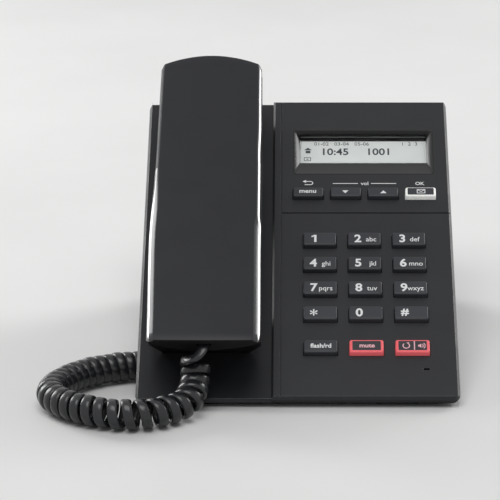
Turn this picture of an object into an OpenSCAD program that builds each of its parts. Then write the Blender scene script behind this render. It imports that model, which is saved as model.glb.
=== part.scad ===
// Desk telephone: a sloping base with a handset in its cradle, a keypad, a display and a curly cord.
// The base and the handset are drawn in the slope's own frame: X across, Y up the sloping face,
// Z out of the face, with the origin at the front edge of the face plane.

/* [Body] */
// Width of the base
body_w = 150; // [145:1:180]
// Length of the sloping face
body_l = 196; // [192:1:240]
// Thickness of the base, square to the face
body_t = 24; // [22:0.1:29]
// Slope of the face
tilt = 29; // [24:0.5:32]
// Height of the face plane's front edge above the desk
front_rise = 5.4; // [5:0.1:8]
// Wall thickness of the housings
wall = 2.2; // [1.6:0.01:2.7]
// Chamfer around the face
edge_chamfer = 1.2; // [0.6:0.1:1.8]
// Corner radius of the base in plan
corner_r = 4; // [2:0.5:8]
// Depth of the outer skirt that the top housing shows
skirt_h = 3.1; // [2.6:0.1:4]
// Step from the skirt in to the bottom housing
tub_inset = 1; // [0.6:0.1:1.5]
// Lean of the bottom housing's side walls
tub_draft = 9; // [0:1:14]

/* [Cradle] */
// X of the step between cradle and keypad panel
cradle_x = -11.3; // [-14:0.1:-10]
// Depth of the cradle below the panel
cradle_drop = 1.8; // [1.2:0.1:2.2]
// Chamfer along the step
step_chamfer = 0.9; // [0.4:0.1:1.1]
// Depth of the ear and mouth wells below the cradle
well_drop = 2; // [1:0.1:2.2]
// Gap between the resting handset and the cradle
rest_gap = 0.3; // [0.2:0.05:0.4]

/* [Panel grooves] */
// X of the panel's long groove
groove_x = -8.1; // [-9:0.1:-7]
// Distance of the cross groove from the front edge
groove_v = 117.4; // [112:0.2:120]
// Width of the grooves
groove_w = 0.8; // [0.5:0.1:1.2]
// Depth of the grooves
groove_d = 0.6; // [0.4:0.1:1]

/* [Keys] */
// Width of a number key
key_w = 16; // [13.2:0.1:19.4]
// Depth of a number key along the face
key_d = 8.4; // [7.5:0.1:9]
// Number key spacing across
key_pitch_x = 21.5; // [20:0.1:22]
// Number key spacing along the face
key_pitch_v = 15.9; // [15:0.1:16.5]
// X of the first column of number keys
key_x = 10.6; // [9:0.1:12]
// Distance of the lowest number row from the front edge
key_v = 50.5; // [49:0.1:52]
// Distance of the call key row from the front edge
call_v = 29.7; // [28:0.1:32]
// Depth of a call key along the face
call_d = 7.8; // [7:0.1:8.4]
// Width of a menu key
menu_w = 15; // [13:0.1:16]
// Depth of a menu key along the face
menu_d = 6.2; // [5.5:0.1:7]
// Menu key spacing across
menu_pitch = 18.4; // [18:0.1:19]
// X of the first menu key
menu_x = 5.1; // [4.5:0.1:6]
// Distance of the menu keys from the front edge
menu_v = 129.7; // [128:0.1:131]
// Height of the key tops above the face
key_rise = 2.2; // [1.6:0.1:2.8]
// Travel of a key
key_travel = 1.2; // [0.6:0.1:1.3]
// Gap around a key in its hole
key_gap = 0.25; // [0.2:0.05:0.35]

/* [Display] */
// X of the display window's left edge
window_x = 1; // [0:0.1:2]
// Width of the display window
window_w = 63.3; // [56:0.1:64]
// Distance of the display window from the front edge
window_v = 153.9; // [153:0.1:156]
// Height of the display window along the face
window_h = 19.7; // [17:0.1:20]
// Width of the bezel's sloping side walls
bezel_side = 2.8; // [2:0.1:3.2]
// Width of the bezel's sloping top wall
bezel_top = 1.3; // [1:0.1:3]
// Width of the bezel's sloping bottom wall
bezel_bottom = 9.6; // [7:0.1:10]
// Depth of the bezel
bezel_drop = 2.5; // [2:0.1:3]
// Thickness of the display's clear lens
lens_t = 1.2; // [0.8:0.1:1.5]
// Thickness of the LCD glass
lcd_t = 1.8; // [1.5:0.1:2.2]

/* [Handset] */
// Width of the handset at the mouth end
mouth_w = 51; // [48:0.1:52]
// Width of the handset at the ear end
ear_w = 48.6; // [46:0.1:50]
// X of the handset's centre line
handset_x = -42.8; // [-43.5:0.1:-42]
// Distance of the handset's mouth end from the front edge
handset_v = 7.4; // [6:0.1:9]
// Length of the handset
handset_l = 188.4; // [186:0.1:190]
// Height of the handset's back above the face
handset_top = 32; // [30:0.2:34]
// Height of the joint between the handset's two shells
handset_split = 22; // [20:0.2:24]
// Height of the grip's inner side above the face
grip_n = 13; // [11:0.2:15]
// Bulge of the ear end in plan
ear_bow = 5.3; // [4:0.1:8]
// Bulge of the mouth end in plan
mouth_bow = 1.5; // [0.8:0.1:3]
// Crown of the handset's back from side to middle
back_crown = 1.2; // [0.4:0.1:1.8]
// Wall thickness of the handset shells
shell_t = 2; // [1.4:0.1:2.4]

/* [Stand] */
// Width of the rear stand
stand_w = 112; // [90:1:130]
// Plate thickness of the rear stand
stand_t = 3; // [2:0.1:4]
// Thickness of the rubber feet
foot_t = 1.6; // [1:0.1:2.4]

/* [Sockets] */
// Width of a network jack
net_w = 16; // [15:0.1:17]
// Height of a network jack
net_h = 11.6; // [11:0.1:12]
// Depth of a network jack
net_d = 18; // [16:0.5:21]
// Width of a network jack's socket
net_socket_w = 11.8; // [11:0.1:12]
// Height of a network jack's socket
net_socket_h = 8.2; // [7:0.1:8.6]
// Radius of the power socket's bore
power_r = 2.8; // [2.5:0.1:3]

/* [Curly cord] */
// Outer diameter of the coiled cord
coil_d = 14.1; // [11.5:0.01:14.4]
// Diameter of the straight tails
tail_d = 2.6; // [2.2:0.1:2.8]

/* [Wall mount] */
// Distance between the two wall keyholes
keyhole_pitch = 80; // [60:1:100]
// Radius of a keyhole's round end
keyhole_r = 4; // [3.5:0.1:5]

/* [Hidden] */
$fn = 48;
// Overlap that keeps cuts clean
cut = 0.5;

// Steps in the slope frame: V runs up the face, N out of it
function up_y(v, n) = v * cos(tilt) - n * sin(tilt);
function up_z(v, n) = v * sin(tilt) + n * cos(tilt);
tub_end = body_l - tub_inset;
lip_n = handset_top - 1;
front_y = -(up_y(handset_v, lip_n) + up_y(tub_end, -body_t)) / 2;
// Slope place [v, n] to desk place [y, z], and a desk place's height as N
function at(v, n) = [front_y + up_y(v, n), front_rise + up_z(v, n)];
function to_v(y, z) = (y - front_y) * cos(tilt) + (z - front_rise) * sin(tilt);
function to_n(y, z) = -(y - front_y) * sin(tilt) + (z - front_rise) * cos(tilt);
// V at which a level N comes down to a height above the desk
function meet_v(n, z) = (z - front_rise - n * cos(tilt)) / sin(tilt);

cradle_n = -cradle_drop;
well_n = cradle_n - well_drop;
plate_n = -wall;
well_plate_n = well_n - 2;
bezel_n = -bezel_drop;
frame_n = bezel_n - 0.9;
rim_in = tub_inset + wall;

// Stack under the face
lens_n = frame_n - lens_t;
lcd_n = lens_n - lcd_t - 0.1;
board_top = -8;
board_t = 1.6;
board_n = board_top - board_t;
mat_t = 1.4;
key_foot_n = plate_n - 1.4;
key_flange = 0.8;

// Cord channel across the left of the underside
channel_v = 24.6;
channel_l = 27.4;
channel_end = -16;
channel_n = -8.5;

// Handset places along its length, in V
mouth_cap_v = 30;
mouth_cap_end = 54;
grip_start = 62;
grip_end = 143;
ear_cap_v = 150;
ear_cap_end = 184;
lip_v = 21;
lip_under_n = 22.5;
rim_low_n = lip_n - 1.4;
recess_v = handset_v + 2.2;
cap_n = well_n + rest_gap;
handset_end = handset_v + handset_l;
cap_half_w = 19.5;
cap_lean_n = 8;
ear_r = (ear_w * ear_w / 4 + ear_bow * ear_bow) / (2 * ear_bow);
mouth_r = (mouth_w * mouth_w / 4 + mouth_bow * mouth_bow) / (2 * mouth_bow);
receiver_v = 167;
receiver_r = 13;
mic_v = 42;
mic_r = 3;

// Jacks
handset_jack_v = 43;
handset_jack_n = -15.4;
net_x = [16, 38];
power_x = 57;
power_w = 9.6;
power_h = 10.8;
power_l = 12;
jack_top = board_n;
net_socket_l = 13;

// Keys: name, column or place, row or place
rows = [for (i = [0:3]) key_v + i * key_pitch_v];
cols = [for (i = [0:2]) key_x + i * key_pitch_x];
menu_xs = [for (i = [0:3]) menu_x + i * menu_pitch];

module slope() { translate([0, front_y, front_rise]) rotate([tilt, 0, 0]) children(); }
// Outline in [v, n] or [y, z] pulled across from x0 to x1
module across(outline, x0, x1) {
    translate([x0, 0, 0]) rotate([90, 0, 90]) linear_extrude(x1 - x0) polygon(outline);
}
// Outline in [x, n] pulled along V from v0 to v1
module along(outline, v0, v1) {
    translate([0, v1, 0]) rotate([90, 0, 0]) linear_extrude(v1 - v0) polygon(outline);
}
// Box given by its low corner and its high corner
module block(low, high) { translate(low) cube(high - low); }
// Upright round bar in the slope frame from n0 to n1
module peg(x, v, n0, n1, r) { translate([x, v, n0]) cylinder(h = n1 - n0, r = r); }
// Rounded rectangle from a low corner
module round_rect(w, l, r) {
    translate([r, 0]) square([w - 2 * r, l]);
    translate([0, r]) square([w, l - 2 * r]);
    for (x = [r, w - r], v = [r, l - r]) translate([x, v]) circle(r);
}
// Plan of the base, drawn in by a margin
module base_plan(inset) {
    translate([-body_w / 2 + inset, inset])
        round_rect(body_w - 2 * inset, body_l - 2 * inset, max(corner_r - inset, 0.5));
}

// ---- Base ----
// Solid of the face slab with its edge chamfer
module face_slab() {
    half = body_w / 2;
    c = edge_chamfer;
    intersection() {
        translate([0, 0, -skirt_h]) linear_extrude(skirt_h) base_plan(0);
        along([[-half, -skirt_h], [half, -skirt_h], [half, -c], [half - c, 0], [-half + c, 0], [-half, -c]],
            -cut, body_l + cut);
        across([[0, -skirt_h], [body_l, -skirt_h], [body_l, -c], [body_l - c, 0], [c, 0], [0, -c]],
            -half - cut, half + cut);
    }
}

// Lowered cradle zone, cut from the slab, with its own outer chamfer
module cradle_cut() {
    half = body_w / 2;
    c = edge_chamfer;
    n = cradle_n;
    along([[-half - cut, cut], [-half - cut, n - c], [-half, n - c], [-half + c, n],
        [cradle_x - step_chamfer, n], [cradle_x - step_chamfer, -step_chamfer], [cradle_x, 0],
        [cradle_x + cut, cut]], -cut, body_l + cut);
    across([[-cut, n - c], [0, n - c], [c, n], [c, cut], [-cut, cut]], -half - cut, cradle_x - step_chamfer);
    across([[body_l + cut, n - c], [body_l, n - c], [body_l - c, n], [body_l - c, cut], [body_l + cut, cut]],
        -half - cut, cradle_x - step_chamfer);
}

// Footprints of the two wells, as [v, length]
well_half_w = cap_half_w + 1.4;
well_corner_r = 1;
mouth_well = [mouth_cap_v - 1, mouth_cap_end - mouth_cap_v + 2.4];
ear_well = [ear_cap_v - 1.4, ear_cap_end - ear_cap_v + 3.2];

module well_cuts() {
    for (w = [mouth_well, ear_well])
        translate([handset_x - well_half_w, w[0], well_n])
            linear_extrude(well_drop + cut) round_rect(2 * well_half_w, w[1], well_corner_r);
}
module well_floors() {
    for (w = [mouth_well, ear_well])
        block([handset_x - well_half_w - wall, w[0] - wall, well_plate_n],
            [handset_x + well_half_w + wall, w[0] + w[1] + wall, -skirt_h]);
}

// Picture-frame cut of the display bezel: sloping walls down to the window
module bezel_cut() {
    x0 = window_x;
    x1 = window_x + window_w;
    v0 = window_v;
    v1 = window_v + window_h;
    k = 1 + cut / bezel_drop;
    intersection() {
        along([[x0, bezel_n], [x1, bezel_n], [x1 + bezel_side * k, cut], [x0 - bezel_side * k, cut]],
            v0 - bezel_bottom - 1, v1 + bezel_top + 1);
        across([[v0, bezel_n], [v1, bezel_n], [v1 + bezel_top * k, cut], [v0 - bezel_bottom * k, cut]],
            x0 - bezel_side - 1, x1 + bezel_side + 1);
    }
    block([x0, v0, frame_n - cut], [x1, v1, bezel_n + cut]);
}

// Places of all the keys: [name, x, v, width, depth]
keys = [
    ["1", cols[0], rows[3], key_w, key_d], ["2", cols[1], rows[3], key_w, key_d],
    ["3", cols[2], rows[3], key_w, key_d], ["4", cols[0], rows[2], key_w, key_d],
    ["5", cols[1], rows[2], key_w, key_d], ["6", cols[2], rows[2], key_w, key_d],
    ["7", cols[0], rows[1], key_w, key_d], ["8", cols[1], rows[1], key_w, key_d],
    ["9", cols[2], rows[1], key_w, key_d], ["star", cols[0], rows[0], key_w, key_d],
    ["0", cols[1], rows[0], key_w, key_d], ["hash", cols[2], rows[0], key_w, key_d],
    ["flash", cols[0], call_v, key_w, call_d], ["mute", cols[1], call_v, key_w, call_d],
    ["speaker", cols[2], call_v, key_w, call_d], ["menu", menu_xs[0], menu_v, menu_w, menu_d],
    ["down", menu_xs[1], menu_v, menu_w, menu_d], ["up", menu_xs[2], menu_v, menu_w, menu_d],
    ["ok", menu_xs[3], menu_v, menu_w, menu_d]];

module key_holes() {
    for (k = keys)
        block([k[1] - k[3] / 2 - key_gap, k[2] - k[4] / 2 - key_gap, -skirt_h - cut],
            [k[1] + k[3] / 2 + key_gap, k[2] + k[4] / 2 + key_gap, cut]);
}

grille_pitch = 5;
speaker_v = 102;
speaker_r = 20;
module grille_cuts() {
    for (i = [-3:3], j = [-3:3]) if (i * i + j * j < 11)
        peg(handset_x + i * grille_pitch, speaker_v + j * grille_pitch, -skirt_h - cut, cradle_n + cut, 1.3);
}

plunger_v = 167;
plunger_x = handset_x + 16;
plunger_w = 5;
plunger_d = 9;
plunger_gap = 0.3;
screw_in = 8;
screw_x = body_w / 2 - screw_in;
screw_places = [[-screw_x, 18], [screw_x, 18], [-screw_x, body_l - screw_in], [screw_x, body_l - screw_in],
    [2, 110]];
screw_boss_r = 3.6;
screw_boss_l = 4;
screw_core_r = 1.2;
screw_head_r = 2.4;
screw_head_l = 1.8;
screw_seat_n = -skirt_h - screw_boss_l - 4.2;
mic_x = body_w / 2 - 15.3;
mic_slot_v = 17.5;

module screw_bosses(n0, n1, r) {
    for (p = screw_places) peg(p[0], p[1], n0, n1, r);
}

module top_housing() {
    boss_low = -skirt_h - screw_boss_l;
    color("#343538") slope() difference() {
        union() {
            difference() {
                face_slab();
                // Underside pocket beneath the keypad panel
                block([cradle_x + wall, rim_in + wall, -skirt_h - cut],
                    [body_w / 2 - rim_in - wall, body_l - rim_in - wall, plate_n]);
            }
            // Deeper frame round the display
            difference() {
                block([window_x - bezel_side - 1.5, window_v - bezel_bottom - 1, frame_n],
                    [window_x + window_w + bezel_side + 1.5, window_v + window_h + bezel_top + 1.5, plate_n]);
                block([window_x - 1.2, window_v - 1.2, frame_n - cut],
                    [window_x + window_w + 1.2, window_v + window_h + 1.2, bezel_n - 1.5]);
            }
            well_floors();
            screw_bosses(boss_low, plate_n + 0.1, screw_boss_r);
        }
        cradle_cut();
        well_cuts();
        bezel_cut();
        key_holes();
        grille_cuts();
        // Panel grooves
        block([groove_x - groove_w / 2, -cut, -groove_d], [groove_x + groove_w / 2, body_l + cut, cut]);
        block([groove_x, groove_v - groove_w / 2, -groove_d], [body_w / 2 + cut, groove_v + groove_w / 2, cut]);
        // Hole for the hook plunger
        plunger_half = [plunger_w / 2 + plunger_gap, plunger_d / 2 + plunger_gap];
        block([plunger_x - plunger_half[0], plunger_v - plunger_half[1], well_plate_n - cut],
            [plunger_x + plunger_half[0], plunger_v + plunger_half[1], cradle_n]);
        // Microphone slot
        block([mic_x - 1.5, mic_slot_v - 0.6, -skirt_h - cut], [mic_x + 1.5, mic_slot_v + 0.6, cut]);
        screw_bosses(boss_low - cut, -skirt_h + 0.5, screw_core_r);
    }
}

// Solid of the bottom housing drawn in by t, up to a level
module tub_form(t, top) {
    v0 = tub_inset + t;
    v1 = tub_end - t;
    low = foot_t + t;
    half = body_w / 2 - tub_inset - t;
    lean = (body_t - t - skirt_h) * tan(tub_draft);
    intersection() {
        across([at(v0, top), [at(v0, -skirt_h)[0], low], [at(meet_v(-body_t + t, low), -body_t + t)[0], low],
            at(v1, -body_t + t), at(v1, top)], -body_w / 2, body_w / 2);
        slope() along([[-half, top], [-half, -skirt_h], [-half + lean, -body_t + t], [half - lean, -body_t + t],
            [half, -skirt_h], [half, top]], -body_l, 2 * body_l);
        slope() translate([0, 0, -2 * body_t]) linear_extrude(3 * body_t) base_plan(tub_inset + t);
    }
}
// Cord channel drawn out by a wall
module channel_form(t) {
    block([-body_w, channel_v - t, -3 * body_t], [channel_end + t, channel_v + channel_l + t, channel_n + t]);
}
module jack_cuts(gap) {
    for (x = net_x)
        block([x - net_w / 2 - gap, body_l - net_d - 5, jack_top - net_h - gap],
            [x + net_w / 2 + gap, body_l + cut, jack_top + gap]);
    block([power_x - power_w / 2 - gap, body_l - 16, jack_top - power_h - gap],
        [power_x + power_w / 2 + gap, body_l + cut, jack_top + gap]);
}
module keyhole(x) {
    slot_half = 2.2;
    translate([x, keyhole_v, -body_t - cut]) cylinder(h = wall + 2 * cut, r = keyhole_r);
    block([x - slot_half, keyhole_v, -body_t - cut], [x + slot_half, keyhole_v + 8, -body_t + wall + cut]);
}
keyhole_v = 76;

module bottom_housing() {
    color("#2b2c2e") difference() {
        union() {
            difference() {
                tub_form(0, -skirt_h);
                tub_form(wall, 0);
            }
            intersection() {
                tub_form(0, -skirt_h - 0.2);
                slope() channel_form(wall);
            }
            intersection() {
                tub_form(wall / 2, -skirt_h - 0.2);
                slope() screw_bosses(-body_t, -skirt_h - screw_boss_l - 0.2, screw_boss_r);
            }
        }
        slope() channel_form(0);
        slope() jack_cuts(0.2);
        slope() block([channel_end - cut, handset_jack_v - 4.2, handset_jack_n - 3.8],
            [channel_end + wall + cut, handset_jack_v + 4.2, handset_jack_n + 3.8]);
        slope() for (s = [-1, 1]) keyhole(s * keyhole_pitch / 2);
        slope() screw_bosses(-2 * body_t, -skirt_h, screw_core_r + 0.4);
        slope() screw_bosses(-2 * body_t, screw_seat_n, screw_head_r + 0.3);
        // Slots that hold the stand's hooks
        slope() for (s = [-1, 1]) block([s * hook_x - hook_w / 2 - 0.3, hook_v - 0.3, -body_t - cut],
            [s * hook_x + hook_w / 2 + 0.3, hook_v + hook_l + 0.3, -body_t + wall + cut]);
    }
}

// ---- Stand and feet ----
stand_v = body_l - 100;
stand_end = body_l - 18;
hook_x = 30;
hook_w = 12;
hook_v = stand_v + 24;
hook_l = 8;
leg_setback = 16.8;
leg_y = at(stand_end, -body_t - stand_t)[0] - leg_setback;
leg_depth = 14;
cable_r = 14;
cable_z = 26;
module rear_stand() {
    top = -body_t;
    under = -body_t - stand_t;
    gusset = 3;
    color("#2b2c2e") {
        difference() {
            union() {
                slope() block([-stand_w / 2, stand_v, under], [stand_w / 2, stand_end, top]);
                // Side gussets and the leg's cross wall
                for (s = [-1, 1]) translate([s * (stand_w - gusset) / 2, 0, 0])
                    across([at(stand_v + 6, under + 0.1), at(stand_end, under + 0.1),
                        [leg_y + leg_depth, foot_t], [leg_y - leg_depth, foot_t]], -gusset / 2, gusset / 2);
                across([at(stand_end - 4, under + 0.1), at(stand_end, under + 0.1), [leg_y + leg_depth, foot_t],
                    [leg_y + leg_depth - 4, foot_t]], -stand_w / 2, stand_w / 2);
                // Sole
                block([-stand_w / 2, leg_y - leg_depth, foot_t],
                    [stand_w / 2, leg_y + leg_depth, foot_t + stand_t]);
                // Hooks into the bottom housing
                slope() for (s = [-1, 1]) {
                    block([s * hook_x - hook_w / 2, hook_v, top],
                        [s * hook_x + hook_w / 2, hook_v + 3, top + wall + 1.6]);
                    block([s * hook_x - hook_w / 2, hook_v, top + wall + 0.2],
                        [s * hook_x + hook_w / 2, hook_v + hook_l + 2, top + wall + 1.6]);
                }
            }
            // Cable opening in the cross wall
            translate([0, leg_y + leg_depth + 40, cable_z]) rotate([90, 0, 0]) cylinder(h = 90, r = cable_r);
            block([-cable_r, leg_y + leg_depth - 30, foot_t + stand_t],
                [cable_r, leg_y + leg_depth + 40, cable_z]);
        }
    }
}
foot_l = 20;
foot_w = 10;
front_foot_x = 46;
rear_foot_x = 42;
front_foot_y = at(tub_inset, -skirt_h)[0] + 9;
module rubber_feet() {
    color("#1a1a1b") for (s = [-1, 1]) {
        block([s * front_foot_x - foot_l / 2, front_foot_y - foot_w / 2, 0],
            [s * front_foot_x + foot_l / 2, front_foot_y + foot_w / 2, foot_t]);
        block([s * rear_foot_x - foot_l / 2, leg_y - foot_w, 0],
            [s * rear_foot_x + foot_l / 2, leg_y + foot_w, foot_t]);
    }
}

// ---- Display and electronics ----
module display_lens() {
    color("#9fb0b4") slope() block([window_x - 2.6, window_v - 1.1, lens_n],
        [window_x + window_w + 2.6, window_v + window_h + 1.1, frame_n]);
}
module lcd_glass() {
    color("#c9cfcb") slope() block([window_x - 2, window_v - 1, lcd_n],
        [window_x + window_w + 2, window_v + window_h + 1, lens_n - 0.1]);
}
module lcd_holder() {
    color("#e8e8e4") slope() difference() {
        block([window_x - 4, window_v - 3, board_top],
            [window_x + window_w + 4, window_v + window_h + 3, lens_n]);
        block([window_x - 2.1, window_v - 1.1, lcd_n - 0.1],
            [window_x + window_w + 2.1, window_v + window_h + 1.1, lens_n + cut]);
        block([window_x + 6, window_v + 4, board_top - cut],
            [window_x + window_w - 6, window_v + window_h - 4, lens_n]);
    }
}
board_x0 = -8;
board_x1 = body_w / 2 - 6;
board_v0 = 16;
board_v1 = body_l - rim_in - 3;
module main_board() {
    color("#1f6b3a") slope() difference() {
        block([board_x0, board_v0, board_n], [board_x1, board_v1, board_top]);
        screw_bosses(board_n - cut, board_top + cut, screw_boss_r + 0.4);
    }
}
// Flat cable from the LCD holder down to the board's connector
module display_ribbon() {
    v = window_v - 3;
    color("#c47a2c") slope() block([26, v - 14, board_top], [42, v, board_top + 0.4]);
}
module board_components() {
    under = board_n;
    color("#2a2a2a") slope() {
        // Processor, memory, transformers, capacitors and connectors under the board
        block([18, 92, under - 2], [34, 108, under]);
        block([42, 94, under - 1.4], [52, 106, under]);
        for (x = [18, 38]) block([x - 7, 152, under - 5], [x + 7, 164, under]);
        for (p = [[54, 150], [62, 150], [58, 136]]) peg(p[0], p[1], under - 8, under, 3.1);
        block([4, 124, under - 3], [20, 129, under]);
        block([26, window_v - 18, board_top], [42, window_v - 17, board_top + 1.2]);
    }
}
module keypad_mat() {
    color("#d8d8d2") slope() difference() {
        union() {
        block([min(cols[0], menu_xs[0]) - key_w / 2 - 1.5, call_v - call_d / 2 - 3, board_top],
            [menu_xs[3] + menu_w / 2 + 1, menu_v + menu_d / 2 + 2, board_top + mat_t]);
            for (k = keys) translate([k[1], k[2], board_top + mat_t - 0.1])
                cylinder(h = key_foot_n - key_travel - 0.25 - board_top - mat_t + 0.1, r1 = 2.9, r2 = 2.1);
        }
        screw_bosses(board_n, 0, screw_boss_r + 0.4);
    }
}
module net_jack(x) {
    low = [x - net_w / 2, tub_end - net_d, jack_top - net_h];
    high = [x + net_w / 2, tub_end, jack_top];
    socket_low = jack_top - net_h / 2 - net_socket_h / 2;
    difference() {
        block(low, high);
        block([x - net_socket_w / 2, tub_end - net_socket_l, socket_low],
            [x + net_socket_w / 2, tub_end + cut, socket_low + net_socket_h]);
    }
}
// Eight contact springs along the roof of each network socket
module jack_contacts() {
    roof = jack_top - net_h / 2 + net_socket_h / 2;
    color("#c9a24a") slope() for (x = net_x, i = [-3.5:3.5])
        block([x + i * 1.2 - 0.2, tub_end - net_socket_l, roof - 0.8], [x + i * 1.2 + 0.2, tub_end - 5, roof]);
}
module lan_jack() { color("#1c1c1c") slope() net_jack(net_x[0]); }
module pc_jack() { color("#1c1c1c") slope() net_jack(net_x[1]); }
module power_jack() {
    n = jack_top - power_h / 2;
    bore_l = 9.5;
    color("#1c1c1c") slope() {
        difference() {
            block([power_x - power_w / 2, tub_end - power_l, jack_top - power_h],
                [power_x + power_w / 2, tub_end, jack_top]);
            translate([power_x, tub_end + cut, n]) rotate([90, 0, 0]) cylinder(h = bore_l + cut, r = power_r);
        }
        translate([power_x, tub_end - 1, n]) rotate([90, 0, 0]) cylinder(h = bore_l - 0.5, r = 1);
    }
}
module handset_jack() {
    v = handset_jack_v;
    n = handset_jack_n;
    color("#1c1c1c") slope() difference() {
        union() {
            block([channel_end + wall, v - 5.5, n - 5], [channel_end + wall + 14, v + 5.5, board_n]);
            block([channel_end, v - 4, n - 3.6], [channel_end + wall, v + 4, n + 3.6]);
        }
        block([channel_end - cut, v - 3.4, n - 2.9], [channel_end + 11, v + 3.4, n + 2.9]);
    }
}
module loudspeaker() {
    top = -skirt_h;
    color("#3a3a3a") slope() translate([handset_x, speaker_v, 0]) {
        translate([0, 0, top - 1.5]) difference() {
            cylinder(h = 1.5, r = speaker_r);
            translate([0, 0, -cut]) cylinder(h = 2.5, r = speaker_r - 3);
        }
        translate([0, 0, top - 6]) difference() {
            cylinder(h = 4.5, r1 = 12, r2 = speaker_r);
            translate([0, 0, 1]) cylinder(h = 4, r1 = 10, r2 = speaker_r - 1.6);
        }
        translate([0, 0, top - 12]) cylinder(h = 6.5, r = 12);
    }
}
module base_microphone() { color("#8a8a8a") slope() peg(mic_x, mic_slot_v, plate_n - 4, plate_n - 1.2, 2.2); }
module microphone_boot() {
    color("#202020") slope() difference() {
        peg(mic_x, mic_slot_v, plate_n - 4.4, plate_n, 3);
        peg(mic_x, mic_slot_v, plate_n - 4.4 - cut, plate_n - 1.2, 2.2);
        peg(mic_x, mic_slot_v, plate_n - 2, plate_n + cut, 1);
    }
}
// Hook plunger: the ear cap holds it down; it rises as the handset is lifted
hook_rise = 4;
plunger_top = cap_n - 0.1;
plunger_foot = well_plate_n - hook_rise - 0.4;
module hook_plunger() {
    color("#3a3b3d") slope() difference() {
        union() {
            block([plunger_x - plunger_w / 2, plunger_v - plunger_d / 2, plunger_foot],
                [plunger_x + plunger_w / 2, plunger_v + plunger_d / 2, plunger_top]);
            block([plunger_x - plunger_w / 2 - 1.2, plunger_v - plunger_d / 2 - 1.2, plunger_foot - 1.2],
                [plunger_x + plunger_w / 2 + 1.2, plunger_v + plunger_d / 2 + 1.2, plunger_foot]);
        }
        peg(plunger_x, plunger_v, plunger_foot - 1.2 - cut, plunger_foot + 3, 2.1);
    }
}
// Coil spring under the plunger, standing on the microswitch
spring_r = 1.5;
spring_wire = 0.45;
spring_turns = 4;
spring_low = -body_t + wall + 6.2;
module hook_spring() {
    rise = plunger_foot + 2.7 - spring_low;
    rings = spring_turns * 8;
    sides = 6;
    points = [for (i = [0:rings], j = [0:sides - 1]) let (a = 360 * i / 8, b = 360 * j / sides,
        r = spring_r + spring_wire * cos(b) * 0.8)
        [r * cos(a), r * sin(a), spring_low + spring_wire + (rise - 2 * spring_wire) * i / rings
            + spring_wire * sin(b)]];
    faces = concat([[for (j = [0:sides - 1]) j]], [[for (j = [sides - 1:-1:0]) rings * sides + j]],
        [for (i = [0:rings - 1], j = [0:sides - 1]) let (k = (j + 1) % sides)
            [i * sides + j, (i + 1) * sides + j, (i + 1) * sides + k, i * sides + k]]);
    color("#b8b8b8") slope() translate([plunger_x, plunger_v, 0]) polyhedron(points, faces, convexity = 6);
}
module hook_microswitch() {
    color("#2f2f33") slope() {
        block([plunger_x - 4, plunger_v - 7, -body_t + wall], [plunger_x + 4, plunger_v + 7, spring_low]);
        block([plunger_x + 4, plunger_v - 5, spring_low - 3], [plunger_x + 5, plunger_v + 5, spring_low + 1.5]);
    }
}
module housing_screws() {
    color("#9a9a9a") slope() for (p = screw_places) {
        peg(p[0], p[1], screw_seat_n - screw_head_l, screw_seat_n, screw_head_r);
        peg(p[0], p[1], screw_seat_n, -skirt_h + 0.3, screw_core_r - 0.05);
    }
}

// ---- Keys ----
module key_cap(i) {
    k = keys[i];
    w = k[3] / 2;
    d = k[4] / 2;
    b = 0.6;
    slope() translate([k[1], k[2], 0]) {
        intersection() {
            along([[-w, key_foot_n], [w, key_foot_n], [w, key_rise - b], [w - b, key_rise], [b - w, key_rise],
                [-w, key_rise - b]], -d, d);
            across([[-d, key_foot_n], [d, key_foot_n], [d, key_rise - b], [d - b, key_rise], [b - d, key_rise],
                [-d, key_rise - b]], -w, w);
        }
        block([-w - key_flange, -d - key_flange, key_foot_n], [w + key_flange, d + key_flange, plate_n - 0.3]);
    }
}
dark = "#2a2b2d";
module key_1() { color(dark) key_cap(0); }
module key_2() { color(dark) key_cap(1); }
module key_3() { color(dark) key_cap(2); }
module key_4() { color(dark) key_cap(3); }
module key_5() { color(dark) key_cap(4); }
module key_6() { color(dark) key_cap(5); }
module key_7() { color(dark) key_cap(6); }
module key_8() { color(dark) key_cap(7); }
module key_9() { color(dark) key_cap(8); }
module key_star() { color(dark) key_cap(9); }
module key_0() { color(dark) key_cap(10); }
module key_hash() { color(dark) key_cap(11); }
module key_flash() { color(dark) key_cap(12); }
module key_mute() { color("#e8575c") key_cap(13); }
module key_speaker() { color("#e8575c") key_cap(14); }
module key_menu() { color(dark) key_cap(15); }
module key_down() { color(dark) key_cap(16); }
module key_up() { color(dark) key_cap(17); }
module key_ok() { color("#e9e9e6") key_cap(18); }

// ---- Handset ----
// Everything here has X measured from the handset's centre line
module handset_frame() { slope() translate([handset_x, 0, 0]) children(); }
// How far each side stands out from a straight line between mouth and ear, as [v, left, right]
side_swell = [[0, 0.65, 0.2], [24, 1, 0.35], [44, 1.55, 0.35], [64, 2.05, 0.35], [76, 2.2, 0.45],
    [86, 2.05, 0.6], [94, 1.75, 0.65], [106, 1.25, 0.75], [118, 0.95, 0.8], [132, 0.85, 0.7], [166, 0.8, 0.6],
    [210, 0.7, 0.9]];
swell_max = 2.2;
function straight_half(v) = mouth_w / 2 + (ear_w - mouth_w) / 2 * (v - handset_v) / handset_l;
module handset_plan(t) {
    count = len(side_swell);
    intersection() {
        polygon(concat([for (p = side_swell) [t - straight_half(p[0]) - p[1], p[0]]],
            [for (i = [1:count]) let (p = side_swell[count - i]) [straight_half(p[0]) + p[2] - t, p[0]]]));
        union() {
            translate([0, handset_end - ear_r]) circle(ear_r - t, $fn = 120);
            translate([-mouth_w, 0]) square([2 * mouth_w, handset_end - ear_r]);
        }
        translate([0, handset_v + mouth_r]) circle(mouth_r - t, $fn = 720);
    }
}
widest_half = mouth_w / 2 + swell_max - 0.4;
chamfer_low = 3.2;
chamfer_high = 1.8;
chamfer_v = 98;
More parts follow.
